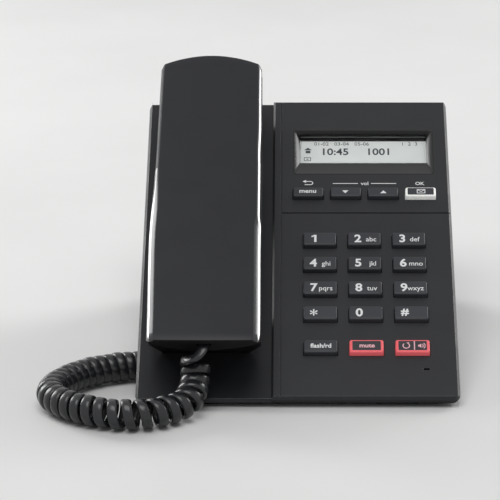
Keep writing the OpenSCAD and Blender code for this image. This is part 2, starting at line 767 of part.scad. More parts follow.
lip_slope = 2;
ear_round = 0.9;
lip_arc_r = 71;
grip_in = 3.2;
// Outline of the handset across, drawn in by t: leaning sides, chamfers and a crowned back
function handset_section(t, chamfer_w, chamfer_h) = let (half = widest_half, top = handset_top - t,
    side_n = top - back_crown - chamfer_h, flat = half - chamfer_w) concat(
    [[cap_half_w - t, cap_n], [t - cap_half_w, cap_n], [t - half, cap_lean_n], [t - half, side_n]],
    [for (k = [-3:3]) [flat * k / 3, top - back_crown * k * k / 9]],
    [[half - t, side_n], [half - t, cap_lean_n]]);
// The handset's whole outer form, drawn in by t
module handset_form(t) {
    top = handset_top - t;
    intersection() {
        translate([0, 0, -20]) linear_extrude(80) handset_plan(t);
        // The lip over the cord is thicker in the middle
        union() {
            translate([0, lip_v + 1 + t, lip_under_n + lip_arc_r]) rotate([90, 0, 0])
                cylinder(h = lip_v + 5, r = lip_arc_r - t, $fn = 180);
            translate([-mouth_w, lip_v + t, -20]) cube([2 * mouth_w, body_l, 80]);
        }
        across(concat(
            t > 0 ? [[recess_v + t, top]]
                : [[recess_v, rim_low_n], [handset_v, rim_low_n], [handset_v, lip_n],
                    [handset_v + lip_slope, top]],
            [[handset_end - ear_round, top], [handset_end - t, top - ear_round],
                [handset_end - t, handset_split - 2], [ear_cap_end - t, cap_n + t], [ear_cap_v + t, cap_n + t],
                [grip_end + t, grip_n + t], [grip_start - t, grip_n + t], [mouth_cap_end - t, cap_n + t],
                [mouth_cap_v + t, cap_n + t], [lip_v + 3 + t, lip_under_n - 9],
                [lip_v + t, lip_under_n - 0.5], [lip_v + t, lip_under_n + t], [recess_v + t, lip_under_n + t]]),
            -widest_half - 1, widest_half + 1);
        union() {
            along(handset_section(t, chamfer_low, chamfer_low), 0, chamfer_v);
            along(handset_section(t, chamfer_high + 0.8, chamfer_high), chamfer_v, body_l + 10);
        }
    }
}
// Sides of the grip, cut in below the joint between the shells
module grip_waist(t) {
    inner = mouth_w / 2 - grip_in - t;
    outer = mouth_w / 2 + 2;
    for (s = [-1, 1]) along([[s * inner, 0], [s * inner, handset_split - 5], [s * outer, handset_split - 1],
        [s * outer, 0]], grip_start - 2, grip_end + 2);
}
handset_screw_vs = [58, 146];
module handset_back_shell() {
    color("#38393c") handset_frame() difference() {
        union() {
            intersection() {
                difference() {
                    handset_form(0);
                    handset_form(shell_t);
                }
                translate([-40, -10, handset_split]) cube([80, 240, 40]);
            }
            for (v = handset_screw_vs) peg(0, v, handset_split - 3, handset_top - shell_t, 3.4);
        }
        for (v = handset_screw_vs) peg(0, v, handset_split - 4, handset_top - shell_t - 1, 1.2);
        cord_slot();
    }
}
slot_n = 27;
slot_half_n = 1.5;
module cord_slot() {
    block([-3.2, recess_v - cut, slot_n - slot_half_n], [3.2, recess_v + shell_t + 1, slot_n + slot_half_n]);
}
module handset_front_shell() {
    color("#2c2d2f") handset_frame() difference() {
        union() {
            intersection() {
                difference() {
                    handset_form(0);
                    difference() {
                        handset_form(shell_t);
                        grip_waist(shell_t);
                    }
                }
                translate([-40, -10, -10]) cube([80, 240, handset_split + 10]);
            }
            for (v = handset_screw_vs) peg(0, v, grip_n + 1, handset_split - 3.2, 3.6);
        }
        grip_waist(0);
        // Sound holes of the earpiece
        for (i = [-2:2], j = [-2:2]) if (i * i + j * j < 6)
            peg(i * 3.4, receiver_v + j * 3.4, cap_n - cut, cap_n + shell_t + cut, 0.9);
        // Mouthpiece holes
        for (i = [-1:1]) peg(i * 4, mic_v, cap_n - cut, cap_n + shell_t + cut, 0.9);
        for (v = handset_screw_vs) {
            peg(0, v, cap_n - 5, handset_split, 1.6);
            peg(0, v, cap_n - 5, handset_split - 7.2, 2.8);
        }
    }
}
module earpiece_receiver() {
    n = cap_n + shell_t + 1;
    color("#b0b0ae") handset_frame() {
        peg(0, receiver_v, n, n + 6, receiver_r);
        peg(0, receiver_v, n + 6, n + 8.5, 6.5);
    }
}
module receiver_gasket() {
    n = cap_n + shell_t;
    color("#1b1b1b") handset_frame() difference() {
        peg(0, receiver_v, n, n + 1, receiver_r);
        peg(0, receiver_v, n - cut, n + 1 + cut, receiver_r - 3);
    }
}
module handset_microphone() {
    n = cap_n + shell_t;
    color("#b0b0ae") handset_frame() peg(0, mic_v, n + 1, n + 4, mic_r);
}
module handset_mic_boot() {
    n = cap_n + shell_t;
    color("#1b1b1b") handset_frame() difference() {
        peg(0, mic_v, n, n + 4, mic_r + 3);
        peg(0, mic_v, n + 1, n + 4 + cut, mic_r);
        peg(0, mic_v, n - cut, n + 2, 1.5);
    }
}
module ballast_weight() {
    color("#8d8f92") handset_frame() difference() {
        block([-13, 82, grip_n + shell_t], [13, 124, grip_n + shell_t + 9]);
        for (v = [88, 118]) peg(0, v, grip_n, grip_n + 20, 2);
    }
}
plug_w = 7.6;
plug_h = 4;
plug_l = 11;
plug_v = 25;
plug_gap = 0.3;
plug_n = slot_n - plug_h / 2;
module handset_socket() {
    color("#1c1c1c") handset_frame() difference() {
        block([-6.5, plug_v + 2, plug_n - 2.2], [6.5, plug_v + plug_l + 7, handset_top - shell_t - 0.3]);
        block([-plug_w / 2 - plug_gap, plug_v - cut - 1, plug_n - plug_gap],
            [plug_w / 2 + plug_gap, plug_v + plug_l + plug_gap, plug_n + plug_h + plug_gap]);
    }
}
module handset_screws() {
    color("#9a9a9a") handset_frame() for (v = handset_screw_vs) {
        peg(0, v, handset_split - 9, handset_split - 7.2, 2.4);
        peg(0, v, handset_split - 7.2, handset_split + 3, 1.15);
    }
}

// ---- Curly cord ----
module handset_plug() {
    color("#c8c8c4") handset_frame()
        block([-plug_w / 2, plug_v, plug_n], [plug_w / 2, plug_v + plug_l, plug_n + plug_h]);
}
// Route points [x, y, z], with y from the face's front edge and z from the desk
function placed(route) = [for (p = route) [p[0], p[1] + front_y, p[2]]];
function unit(a) = a / norm(a);
// Points along a smooth curve through a route, with n steps from each point to the next
function curve(p, n) = [for (i = [0:len(p) - 2], k = [0:n - 1]) let (
    a = p[max(i - 1, 0)], b = p[i], c = p[i + 1], d = p[min(i + 2, len(p) - 1)], t = k / n)
    0.5 * (2 * b + (c - a) * t + (2 * a - 5 * b + 4 * c - d) * t * t + (3 * b - a - 3 * c + d) * t * t * t),
    p[len(p) - 1]];
module tube(p, r, sides) {
    last = len(p) - 1;
    points = [for (i = [0:last]) let (
        along = unit(p[min(i + 1, last)] - p[max(i - 1, 0)]),
        helper = abs(along[2]) > 0.9 ? [0, 1, 0] : [0, 0, 1],
        side = unit(cross(helper, along)), up = cross(along, side))
        for (j = [0:sides - 1]) let (a = 360 * (j + 0.5) / sides) p[i] + r * (cos(a) * side + sin(a) * up)];
    faces = concat([[for (j = [sides - 1:-1:0]) j]], [[for (j = [0:sides - 1]) last * sides + j]],
        [for (i = [0:last - 1], j = [0:sides - 1]) let (k = (j + 1) % sides)
            [i * sides + j, i * sides + k, (i + 1) * sides + k, (i + 1) * sides + j]]);
    polyhedron(points, faces, convexity = 10);
}
// Coil, from under the handset's mouth end, over the front edge, round the desk and into the channel
coil_route = [[-47, 4.3, 21], [-47, 1.8, 17.6], [-47.5, -2.4, 12.8], [-48.5, -7.8, 10.2], [-52, -14, 8],
    [-58, -19, 7.3], [-65, -23.5, 7.3], [-73, -25.6, 7.3], [-82, -25, 7.3], [-91, -22, 7.3], [-100, -17, 7.3],
    [-108, -10, 7.3], [-112.6, -2, 7.3], [-113.2, 6, 7.3], [-109.5, 15, 7.3], [-102, 25, 7.3], [-92, 32, 7.3],
    [-82, 36, 7.3], [-72, 37.8, 7.3], [-60, 38.4, 7.3], [-50, 38.4, 7.3], [-42, 38.4, 7.3]];
tail_route_handset = [[-42.8, 8.6, 41], [-42.8, 1.8, 37.3], [-42.8, -4.5, 33.5], [-43, -6.6, 31.4],
    [-43.8, -6.6, 29], [-45, -4.6, 27.2], [-46, -2, 26.8], [-46.4, 0.4, 25.7]];
tail_route_base = [[-41.8, 38.4, 7.3], [-38, 38.8, 8], [-34, 42, 11], [-30, 44.8, 12.6], [-24.1, 45.1, 12.8]];
module cord_tail_handset() { color("#1f2022") tube(curve(placed(tail_route_handset), 3), tail_d / 2, 8); }
module curly_cord() { color("#1f2022") tube(curve(placed(coil_route), 2), coil_d / 2, 12); }
module cord_tail_base() { color("#1f2022") tube(curve(placed(tail_route_base), 3), tail_d / 2, 8); }
module base_plug() {
    v = handset_jack_v;
    n = handset_jack_n;
    color("#c8c8c4") slope() block([channel_end - 8, v - 3.1, n - 2.6], [channel_end + 8, v + 3.1, n + 2.6]);
}

top_housing();
bottom_housing();
rear_stand();
rubber_feet();
display_lens();
lcd_glass();
lcd_holder();
display_ribbon();
main_board();
board_components();
keypad_mat();
lan_jack();
pc_jack();
jack_contacts();
power_jack();
handset_jack();
loudspeaker();
base_microphone();
microphone_boot();
hook_plunger();
hook_spring();
hook_microswitch();
housing_screws();
handset_back_shell();
handset_front_shell();
earpiece_receiver();
receiver_gasket();
handset_microphone();
handset_mic_boot();
ballast_weight();
handset_socket();
handset_screws();
handset_plug();
cord_tail_handset();
curly_cord();
cord_tail_base();
base_plug();
key_1();
key_2();
key_3();
key_4();
key_5();
key_6();
key_7();
key_8();
key_9();
key_star();
key_0();
key_hash();
key_flash();
key_mute();
key_speaker();
key_menu();
key_down();
key_up();
key_ok();
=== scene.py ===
"""Desk telephone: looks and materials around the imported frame.

Lengths are in millimetres in this script and become metres in the meshes. The slope frame has X across the
phone, V up its sloping face and N out of the face, with its origin at the front edge of the face plane.
"""
import math

import bmesh
import bpy
from mathutils import Matrix, Vector


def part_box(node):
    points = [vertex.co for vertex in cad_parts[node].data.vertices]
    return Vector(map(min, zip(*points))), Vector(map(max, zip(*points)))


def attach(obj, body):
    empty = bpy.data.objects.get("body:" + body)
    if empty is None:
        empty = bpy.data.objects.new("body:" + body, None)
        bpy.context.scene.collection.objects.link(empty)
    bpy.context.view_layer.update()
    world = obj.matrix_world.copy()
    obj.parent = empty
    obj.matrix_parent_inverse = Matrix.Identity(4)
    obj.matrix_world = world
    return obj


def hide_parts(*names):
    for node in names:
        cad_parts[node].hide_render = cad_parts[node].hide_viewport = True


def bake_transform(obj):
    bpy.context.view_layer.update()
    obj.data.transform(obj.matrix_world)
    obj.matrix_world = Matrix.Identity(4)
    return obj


MM = 0.001
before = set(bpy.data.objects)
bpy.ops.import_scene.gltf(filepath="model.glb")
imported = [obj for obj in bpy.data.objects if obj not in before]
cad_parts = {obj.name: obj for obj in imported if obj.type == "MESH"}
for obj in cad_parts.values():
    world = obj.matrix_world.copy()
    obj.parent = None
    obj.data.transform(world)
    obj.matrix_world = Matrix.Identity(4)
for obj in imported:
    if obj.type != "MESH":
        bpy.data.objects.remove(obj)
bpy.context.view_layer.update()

# ---- Places taken from the construction ----
TILT = math.radians(29)
FRONT_RISE = 5.4
EDGE_CHAMFER = 1.2
FRONT_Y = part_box("top_housing")[0][1] / MM - EDGE_CHAMFER * math.sin(TILT)
SLOPE = Matrix.Translation((0, FRONT_Y * MM, FRONT_RISE * MM)) @ Matrix.Rotation(TILT, 4, "X")
HANDSET_X = -42.8


def at(x, v, n):
    """Point of the slope frame, in metres in the row frame."""
    return SLOPE @ (Vector((x, v, n)) * MM)


# ---- Camera, fitted to the photo ----
VIEW_ELEVATION = math.radians(18.2)
FACE_EDGE_V = 1.2
AXIS_TO_EDGE = 1283.8
EDGE_BELOW_AXIS = 67.2
LENS = 200.9
SHIFT_X = -0.0956


def make_camera():
    look = Vector((0, math.cos(VIEW_ELEVATION), -math.sin(VIEW_ELEVATION)))
    up = Vector((0, math.sin(VIEW_ELEVATION), math.cos(VIEW_ELEVATION)))
    data = bpy.data.cameras.new("camera")
    data.lens = LENS
    data.shift_x = SHIFT_X
    data.clip_end = 20
    camera = bpy.data.objects.new("camera", data)
    bpy.context.scene.collection.objects.link(camera)
    camera.location = at(0, FACE_EDGE_V, 0) - (AXIS_TO_EDGE * look - EDGE_BELOW_AXIS * up) * MM
    camera.rotation_euler = (math.pi / 2 - VIEW_ELEVATION, 0, 0)
    bpy.context.scene.camera = camera


# ---- Mesh helpers ----
def smooth_between(value, low, high):
    t = min(1, max(0, (value - low) / (high - low)))
    return t * t * (3 - 2 * t)


def mesh_object(name, verts, faces, smooth=False):
    mesh = bpy.data.meshes.new(name)
    mesh.from_pydata([tuple(v) for v in verts], [], faces)
    mesh.update()
    obj = bpy.data.objects.new(name, mesh)
    bpy.context.scene.collection.objects.link(obj)
    if smooth:
        mesh.shade_smooth()
    return obj


# Gaps in metres that are closed before and after the bevel of a construction node
WELD_GAP = 0.00001
SEAL_GAP = 0.000003
FLAT_ANGLE = math.radians(0.5)
EDGE_ANGLE = math.radians(30)


def soften_node(name, width, segments, bevel_highlight_look=None, clamp=True):
    """Bevels the sharp edges of a construction node, after joining the flat faces of its mesh."""
    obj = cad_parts[name]
    weld = obj.modifiers.new("weld", "WELD")
    weld.merge_threshold = WELD_GAP
    flat = obj.modifiers.new("flat", "DECIMATE")
    flat.decimate_type = "DISSOLVE"
    flat.angle_limit = FLAT_ANGLE
    obj.data.shade_smooth()
    bevel = obj.modifiers.new("edge", "BEVEL")
    bevel.width = width * MM
    bevel.segments = segments
    bevel.limit_method = "ANGLE"
    bevel.angle_limit = EDGE_ANGLE
    bevel.use_clamp_overlap = clamp
    bevel.harden_normals = True
    seal = obj.modifiers.new("seal", "WELD")
    seal.merge_threshold = SEAL_GAP
    # The bevels can get a lighter, glossier plastic of their own, which paints a highlight along the edges
    if bevel_highlight_look:
        obj.data.materials.append(MATERIALS[bevel_highlight_look])
        bevel.material = len(obj.data.materials) - 1
    even = obj.modifiers.new("even", "WEIGHTED_NORMAL")
    even.keep_sharp = True


# ---- Materials ----
def srgb(code):
    """Linear colour of a hex code such as "38393b"."""
    parts = [int(code[i:i + 2], 16) / 255 for i in (0, 2, 4)]
    return tuple(c / 12.92 if c <= 0.04045 else ((c + 0.055) / 1.055) ** 2.4 for c in parts)


class Shader:
    """A material's node tree with a Principled shader and short ways to add nodes."""

    def __init__(self, name, color, roughness, metallic=0.0):
        self.material = bpy.data.materials.new(name)
        self.material.use_nodes = True
        self.nodes = self.material.node_tree.nodes
        self.links = self.material.node_tree.links
        self.bsdf = self.nodes["Principled BSDF"]
        self.bsdf.inputs["Base Color"].default_value = (*color, 1)
        self.bsdf.inputs["Roughness"].default_value = roughness
        self.bsdf.inputs["Metallic"].default_value = metallic
        self.coords = self.nodes.new("ShaderNodeTexCoord")

    def noise(self, per_metre, detail=3.0, roughness=0.55, stretch=None):
        node = self.nodes.new("ShaderNodeTexNoise")
        node.inputs["Scale"].default_value = per_metre
        node.inputs["Detail"].default_value = detail
        node.inputs["Roughness"].default_value = roughness
        source = self.coords.outputs["Object"]
        if stretch:
            mapping = self.nodes.new("ShaderNodeMapping")
            mapping.inputs["Scale"].default_value = stretch
            self.links.new(source, mapping.inputs["Vector"])
            source = mapping.outputs["Vector"]
        self.links.new(source, node.inputs["Vector"])
        return node.outputs["Fac"]

    def spread(self, source, low, high, low_in=0.3, high_in=0.7):
        """Maps a 0 to 1 field to the range low to high."""
        node = self.nodes.new("ShaderNodeMapRange")
        node.inputs["From Min"].default_value = low_in
        node.inputs["From Max"].default_value = high_in
        node.inputs["To Min"].default_value = low
        node.inputs["To Max"].default_value = high
        self.links.new(source, node.inputs["Value"])
        return node.outputs["Result"]

    def tint(self, source, dark, light):
        """Base colour that varies between two colours with a field."""
        node = self.nodes.new("ShaderNodeMix")
        node.data_type = "RGBA"
        node.inputs["A"].default_value = (*dark, 1)
        node.inputs["B"].default_value = (*light, 1)
        self.links.new(source, node.inputs["Factor"])
        self.links.new(node.outputs["Result"], self.bsdf.inputs["Base Color"])

    def bump(self, source, strength, height_mm):
        node = self.nodes.new("ShaderNodeBump")
        node.inputs["Strength"].default_value = strength
        node.inputs["Distance"].default_value = height_mm * MM
        self.links.new(source, node.inputs["Height"])
        self.links.new(node.outputs["Normal"], self.bsdf.inputs["Normal"])

    def rough(self, source, low, high):
        self.links.new(self.spread(source, low, high), self.bsdf.inputs["Roughness"])


def moulded(name, color, roughness, grain_mm=0.5, grain=0.25, drift=0.12, specular=0.25):
    """Moulded plastic with a fine spark-eroded grain, faint cloudiness and uneven gloss."""
    shader = Shader(name, color, roughness)
    cloud = shader.noise(28, 2)
    dark, light = [c * (1 - drift) for c in color], [c * (1 + drift) for c in color]
    shader.tint(shader.spread(cloud, 0, 1), dark, light)
    fine = shader.noise(1000 / grain_mm, 2, 0.6)
    shader.rough(shader.noise(60, 4), roughness * 0.9, min(1, roughness * 1.12))
    shader.bump(fine, grain, 0.03)
    shader.bsdf.inputs["Specular IOR Level"].default_value = specular
    return shader


def coated(shader, weight, roughness, ior=None):
    """Adds a clear coat, which sharpens the reflections of an edge."""
    shader.bsdf.inputs["Coat Weight"].default_value = weight
    shader.bsdf.inputs["Coat Roughness"].default_value = roughness
    if ior:
        shader.bsdf.inputs["IOR"].default_value = ior
    return shader


# Levels between which the top housing turns from its sunk colour, a painted shade, to its face colour
SUNK_N, FACE_N = -1.3, -0.5


def two_level(name, face, sunk, roughness):
    """Moulded plastic of the top housing with painted shade: below the face's level, in the cradle and the
    display recess, it is painted darker than the face.
    """
    shader = moulded(name, face, roughness)
    lean = shader.nodes.new("ShaderNodeMapping")
    lean.inputs["Location"].default_value = SLOPE.inverted().to_translation()
    lean.inputs["Rotation"].default_value = (-TILT, 0, 0)
    split = shader.nodes.new("ShaderNodeSeparateXYZ")
    shader.links.new(shader.coords.outputs["Object"], lean.inputs["Vector"])
    shader.links.new(lean.outputs["Vector"], split.inputs["Vector"])
    depth = shader.spread(split.outputs["Z"], 1, 0, SUNK_N * MM, FACE_N * MM)
    blend = shader.nodes.new("ShaderNodeMix")
    blend.data_type = "RGBA"
    blend.inputs["B"].default_value = (*sunk, 1)
    shader.links.new(shader.bsdf.inputs["Base Color"].links[0].from_socket, blend.inputs["A"])
    shader.links.new(depth, blend.inputs["Factor"])
    shader.links.new(blend.outputs["Result"], shader.bsdf.inputs["Base Color"])
    return shader


def make_materials():
    made = {}
    # The housing's second colour is painted shade, darker below the face's level
    made["housing"] = two_level("housing_plastic", srgb("2a2b2e"), srgb("232427"), 0.44)
    # Plastic of the top housing's bevels: its coat is a gloss finish, and its lighter colour is a painted
    # highlight
    rim = moulded("housing_highlight_edge_plastic", srgb("36373a"), 0.2, 0.45, 0.05, specular=0.5)
    made["housing_highlight_edge"] = coated(rim, 0.6, 0.12, ior=1.8)
    made["tub"] = moulded("tub_plastic", srgb("232426"), 0.55, 0.7, 0.35)
    made["handset"] = moulded("handset_plastic", srgb("232428"), 0.4, 0.45, 0.14, 0.03)
    # Plastics of the handset's chamfers: their coats are a gloss finish, and their colour, lighter than the
    # handset's, is a painted highlight
    edge = moulded("handset_highlight_edge_plastic", srgb("2c2d30"), 0.14, 0.45, 0.02, specular=0.5)
    made["handset_highlight_edge"] = coated(edge, 1.0, 0.08, ior=1.8)
    soft = moulded("handset_highlight_edge_soft_plastic", srgb("2c2d30"), 0.17, 0.45, 0.02, specular=0.4)
    made["handset_highlight_edge_soft"] = coated(soft, 0.25, 0.12)
    # Near-black plastic that reflects little: painted shade for the mouth's end and the lip's underside
    made["handset_painted_shade"] = moulded("handset_painted_shade_plastic", srgb("0e0e0f"), 0.6, 0.45, 0.16, specular=0.12)
    inner = moulded("handset_inner_plastic", srgb("1e1f21"), 0.3, 0.45, 0.1)
    made["handset_inner"] = coated(inner, 0.6, 0.15)
    made["key"] = moulded("key_plastic", srgb("3c3d41"), 0.38, 0.4, 0.12)
    made["rubber"] = moulded("rubber_black", srgb("1b1b1c"), 0.8, 0.8, 0.5)
    made["component"] = moulded("component_black", srgb("1d1d1e"), 0.5)
    made["silicone"] = moulded("silicone_grey", srgb("4a4b4d"), 0.6)
    made["holder"] = moulded("holder_white", srgb("e8e8e2"), 0.5)
    made["board"] = moulded("board_green", srgb("1f6b3a"), 0.35)
    made["ribbon"] = moulded("ribbon_amber", srgb("c47a2c"), 0.3)
    made["legend"] = moulded("legend_white", srgb("f4f4f4"), 0.5, 0.3, 0.08, 0.02)
    made["legend_pink"] = moulded("legend_pink", srgb("ffc4cb"), 0.5, 0.3, 0.08, 0.02)
    made["gloss"] = moulded("bezel_gloss_black", srgb("161718"), 0.2, 0.4, 0.04, specular=0.35)
    made["cord"] = moulded("cord_black", srgb("222326"), 0.25, 1.2, 0.1, 0.2, specular=0.5)
    made["plug"] = moulded("plug_clear", srgb("c8ccca"), 0.15, 2, 0.05)
    made["plug"].bsdf.inputs["Transmission Weight"].default_value = 0.6
    # The red and white keys glow with emission, a painted glow: no lamp lights them from inside
    for name, code in (("red_key", "ee6a70"), ("white_key", "f2f2ee")):
        shader = moulded(name + "_plastic", srgb(code), 0.35, 0.4, 0.1, 0.05)
        shader.bsdf.inputs["Subsurface Weight"].default_value = 0.15
        shader.bsdf.inputs["Subsurface Scale"].default_value = 0.001
        shader.bsdf.inputs["Emission Color"].default_value = (*srgb(code), 1)
        shader.bsdf.inputs["Emission Strength"].default_value = 0.22
        made[name] = shader
    steel = Shader("steel", srgb("a9aaad"), 0.32, 1.0)
    steel.rough(steel.noise(900, 3, 0.5, (1, 1, 12)), 0.24, 0.42)
    steel.bump(steel.noise(1500, 2), 0.1, 0.02)
    made["steel"] = steel
    gold = Shader("contact_gold", srgb("d8b25a"), 0.28, 1.0)
    gold.rough(gold.noise(900, 3), 0.22, 0.36)
    made["gold"] = gold
    receiver = Shader("receiver_metal", srgb("b9b9b4"), 0.4, 0.9)
    receiver.rough(receiver.noise(700, 3), 0.32, 0.5)
    made["receiver"] = receiver
    lens = Shader("clear_plastic", (1, 1, 1), 0.03)
    lens.bsdf.inputs["Transmission Weight"].default_value = 1.0
    lens.bsdf.inputs["IOR"].default_value = 1.05
    lens.rough(lens.noise(40, 2), 0.02, 0.05)
    made["lens"] = lens
    lcd = Shader("lcd_grey", srgb("cdd1d0"), 0.35)
    glow = lcd.noise(30, 1)
    lcd.tint(lcd.spread(glow, 0, 1), srgb("c9cecd"), srgb("d2d5d3"))
    made["lcd"] = lcd
    # Black of a strip that paints the shadow of the display recess's top wall on the LCD
    made["shadow_mask"] = moulded("display_painted_shadow_black", srgb("1a1b1c"), 0.5, 0.4, 0.05)
    made["lcd_ink"] = moulded("lcd_ink", srgb("3b4144"), 0.5, 0.4, 0.05)
    floor = Shader("floor_pale", srgb("e6e6e4"), 0.6)
    floor.tint(floor.spread(floor.noise(6, 3), 0, 1), srgb("e3e3e1"), srgb("e9e9e7"))
    made["floor"] = floor
    return {name: shader.material for name, shader in made.items()}


MATERIALS = make_materials()
NODE_LOOK = {
    "top_housing": "housing", "bottom_housing": "tub", "rear_stand": "tub", "rubber_feet": "rubber",
    "display_lens": "lens", "lcd_glass": "lcd", "lcd_holder": "holder", "display_ribbon": "ribbon",
    "main_board": "board", "board_components": "component", "keypad_mat": "silicone",
    "lan_jack": "component", "pc_jack": "component", "power_jack": "component", "jack_contacts": "gold",
    "handset_jack": "component", "loudspeaker": "component", "base_microphone": "receiver",
    "microphone_boot": "rubber", "hook_plunger": "tub", "hook_spring": "steel",
    "hook_microswitch": "component", "housing_screws": "steel", "handset_back_shell": "handset",
    "handset_front_shell": "handset_inner", "earpiece_receiver": "receiver", "receiver_gasket": "rubber",
    "handset_microphone": "receiver", "handset_mic_boot": "rubber", "ballast_weight": "steel",
    "handset_socket": "component", "handset_screws": "steel", "handset_plug": "plug",
    "cord_tail_handset": "cord", "curly_cord": "cord", "cord_tail_base": "cord", "base_plug": "plug",
    "key_mute": "red_key", "key_speaker": "red_key", "key_ok": "white_key",
}


def paint(obj, look):
    """Gives a piece its material."""
    obj.data.materials.clear()
    obj.data.materials.append(MATERIALS[look])


def paint_nodes():
    for name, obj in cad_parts.items():
        look = MATERIALS[NODE_LOOK.get(name, "key")]
        if not obj.material_slots:
            obj.data.materials.append(look)
        for slot in obj.material_slots:
            slot.material = look


# ---- Curly cord ----
# Route points [x, y, z] in millimetres, with y from the face's front edge, as the construction has them
COIL_ROUTE = [
    (-47, 4.2, 20.9), (-47, 1.2, 16.8), (-47.5, -2.4, 12.8), (-48.5, -7.8, 10.2), (-52, -14, 8),
    (-58, -19, 7.3), (-65, -23.5, 7.3), (-73, -25.6, 7.3), (-82, -25, 7.3), (-91, -22, 7.3), (-100, -17, 7.3),
    (-108, -10, 7.3), (-112.6, -2, 7.3), (-113.2, 6, 7.3), (-109.5, 15, 7.3), (-102, 25, 7.3), (-92, 32, 7.3),
    (-82, 36, 7.3), (-72, 37.8, 7.3), (-60, 38.4, 7.3), (-50, 38.4, 7.3), (-42, 38.4, 7.3)]
HANDSET_TAIL = [
    (-42.8, 8.6, 41), (-42.8, 1.8, 37.3), (-42.8, -4.2, 33.6), (-43.6, -7.3, 31.2), (-45.8, -8.4, 29),
    (-48.6, -7.2, 27), (-51.2, -4.2, 25.4), (-52.6, -0.2, 23.6)]
BASE_TAIL = [(-43.6, 44, 2.9), (-40.5, 46.2, 4.6), (-36, 46.2, 8), (-31.5, 45.6, 11.2), (-28, 45.2, 12.5),
             (-24.1, 45.1, 12.8)]
# Last steps of the coil left out, so that it ends where the tail goes on without a kink
COIL_TRIM = 16
# Distance between the coil's turns, as (millimetres from the handset, pitch)
PITCHES = [(0, 5.5), (20, 5.9), (42, 6.5), (60, 6.2), (78, 5.4), (96, 4.7), (400, 4.45)]
SPACING = 0.19
CURL_R = 5.8
CORD_W = 4.9
CORD_T = 2.4
SECTION_SIDES = 14
ROUTE_STEPS = 24
TAIL_STEPS = 8
# Points of the coil from its end to the one that the tail's curve aims at
JOIN = 4
# How soon the flat side of the base's tail turns down
TURN_DOWN = 1.6
# Unevenness of the coil's radius, as (size, waves per radian, start)
WOBBLES = ((0.12, 0.37, 0), (0.08, 1.7, 1))


def smooth_route(points, steps):
    """Points along a smooth curve through a route, with some steps from each point to the next."""
    found = []
    for i in range(len(points) - 1):
        a, b, c, d = (Vector(points[min(max(k, 0), len(points) - 1)]) for k in (i - 1, i, i + 1, i + 2))
        for k in range(steps):
            t = k / steps
            found.append(0.5 * (2 * b + (c - a) * t + (2 * a - 5 * b + 4 * c - d) * t ** 2
                                + (3 * b - a - 3 * c + d) * t ** 3))
    found.append(Vector(points[-1]))
    return found


def even_steps(points, spacing):
    """The same line with points a fixed distance apart."""
    found = [points[0]]
    left = spacing
    for a, b in zip(points, points[1:]):
        length = (b - a).length
        travelled = 0.0
        while length - travelled >= left:
            travelled += left
            found.append(a + (b - a) * (travelled / length))
            left = spacing
        left -= length - travelled
    return found


def pitch_at(place):
    for low, high in zip(PITCHES, PITCHES[1:]):
        if place <= high[0]:
            return low[1] + (high[1] - low[1]) * (place - low[0]) / (high[0] - low[0])
    return PITCHES[-1][1]


def helix(centre_line):
    """Points of the cord round the coil's centre line, each with the outward direction there."""
    count = len(centre_line)
    tangents = [(centre_line[min(i + 1, count - 1)] - centre_line[max(i - 1, 0)]).normalized()
                for i in range(count)]
    outward = Vector((-1, 0, 0))
    found = []
    turn = 0
    for i, (centre, along) in enumerate(zip(centre_line, tangents)):
        outward = (outward - along * outward.dot(along)).normalized()
        side = along.cross(outward)
        turn += 2 * math.pi * SPACING / pitch_at(i * SPACING)
        direction = outward * math.cos(turn) + side * math.sin(turn)
        wobble = sum(size * math.sin(waves * turn + start) for size, waves, start in WOBBLES)
        found.append((centre + direction * (CURL_R + wobble), direction))
    return found


def flat_section():
    """Outline of the flat cord, as (across the width, through the thickness)."""
    points = []
    for k in range(SECTION_SIDES):
        a = 2 * math.pi * k / SECTION_SIDES
        c, s = math.cos(a), math.sin(a)
        points.append((CORD_W / 2 * math.copysign(abs(c) ** 0.75, c),
                       CORD_T / 2 * math.copysign(abs(s) ** 0.8, s)))
    return points


def sweep(path, outline):
    """Tube of an outline along points that each have an outward direction."""
    verts, faces = [], []
    count = len(path)
    sides = len(outline)
    for i, (point, outward) in enumerate(path):
        along = (path[min(i + 1, count - 1)][0] - path[max(i - 1, 0)][0]).normalized()
        thick = (outward - along * outward.dot(along)).normalized()
        wide = along.cross(thick)
        verts += [(point + wide * a + thick * b) * MM for a, b in outline]
    for i in range(count - 1):
        for k in range(sides):
            m = (k + 1) % sides
            faces.append((i * sides + k, i * sides + m, (i + 1) * sides + m, (i + 1) * sides + k))
    faces.append(tuple(reversed(range(sides))))
    faces.append(tuple(range((count - 1) * sides, count * sides)))
    return verts, faces


def make_cord():
    lift = Vector((0, FRONT_Y, 0))
    centre_line = even_steps(smooth_route(COIL_ROUTE, ROUTE_STEPS), SPACING)
    coil = helix(centre_line)[:-COIL_TRIM]
    first, last = [tuple(coil[i][0]) for i in (0, JOIN)], [tuple(coil[i][0]) for i in (-1 - JOIN, -1)]
    start = smooth_route(HANDSET_TAIL + first, TAIL_STEPS)[:-TAIL_STEPS]
    end = smooth_route(last + BASE_TAIL, TAIL_STEPS)[TAIL_STEPS:]
    up = Vector((0, -math.sin(TILT), math.cos(TILT)))
    front = [(point, up.lerp(coil[0][1], min(1, i / (len(start) - 1)) ** 2))
             for i, point in enumerate(start[:-1])]
    back = [(point, coil[-1][1].lerp(Vector((0, 0, -1)), min(1, TURN_DOWN * i / (len(end) - 1))))
            for i, point in enumerate(end[1:])]
    path = [(point + lift, outward) for point, outward in front + coil + back]
    verts, faces = sweep(path, flat_section())
    cord = mesh_object("curly_cord_strand", verts, faces, smooth=True)
    paint(cord, "cord")
    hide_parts("curly_cord", "cord_tail_handset", "cord_tail_base")
    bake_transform(cord)


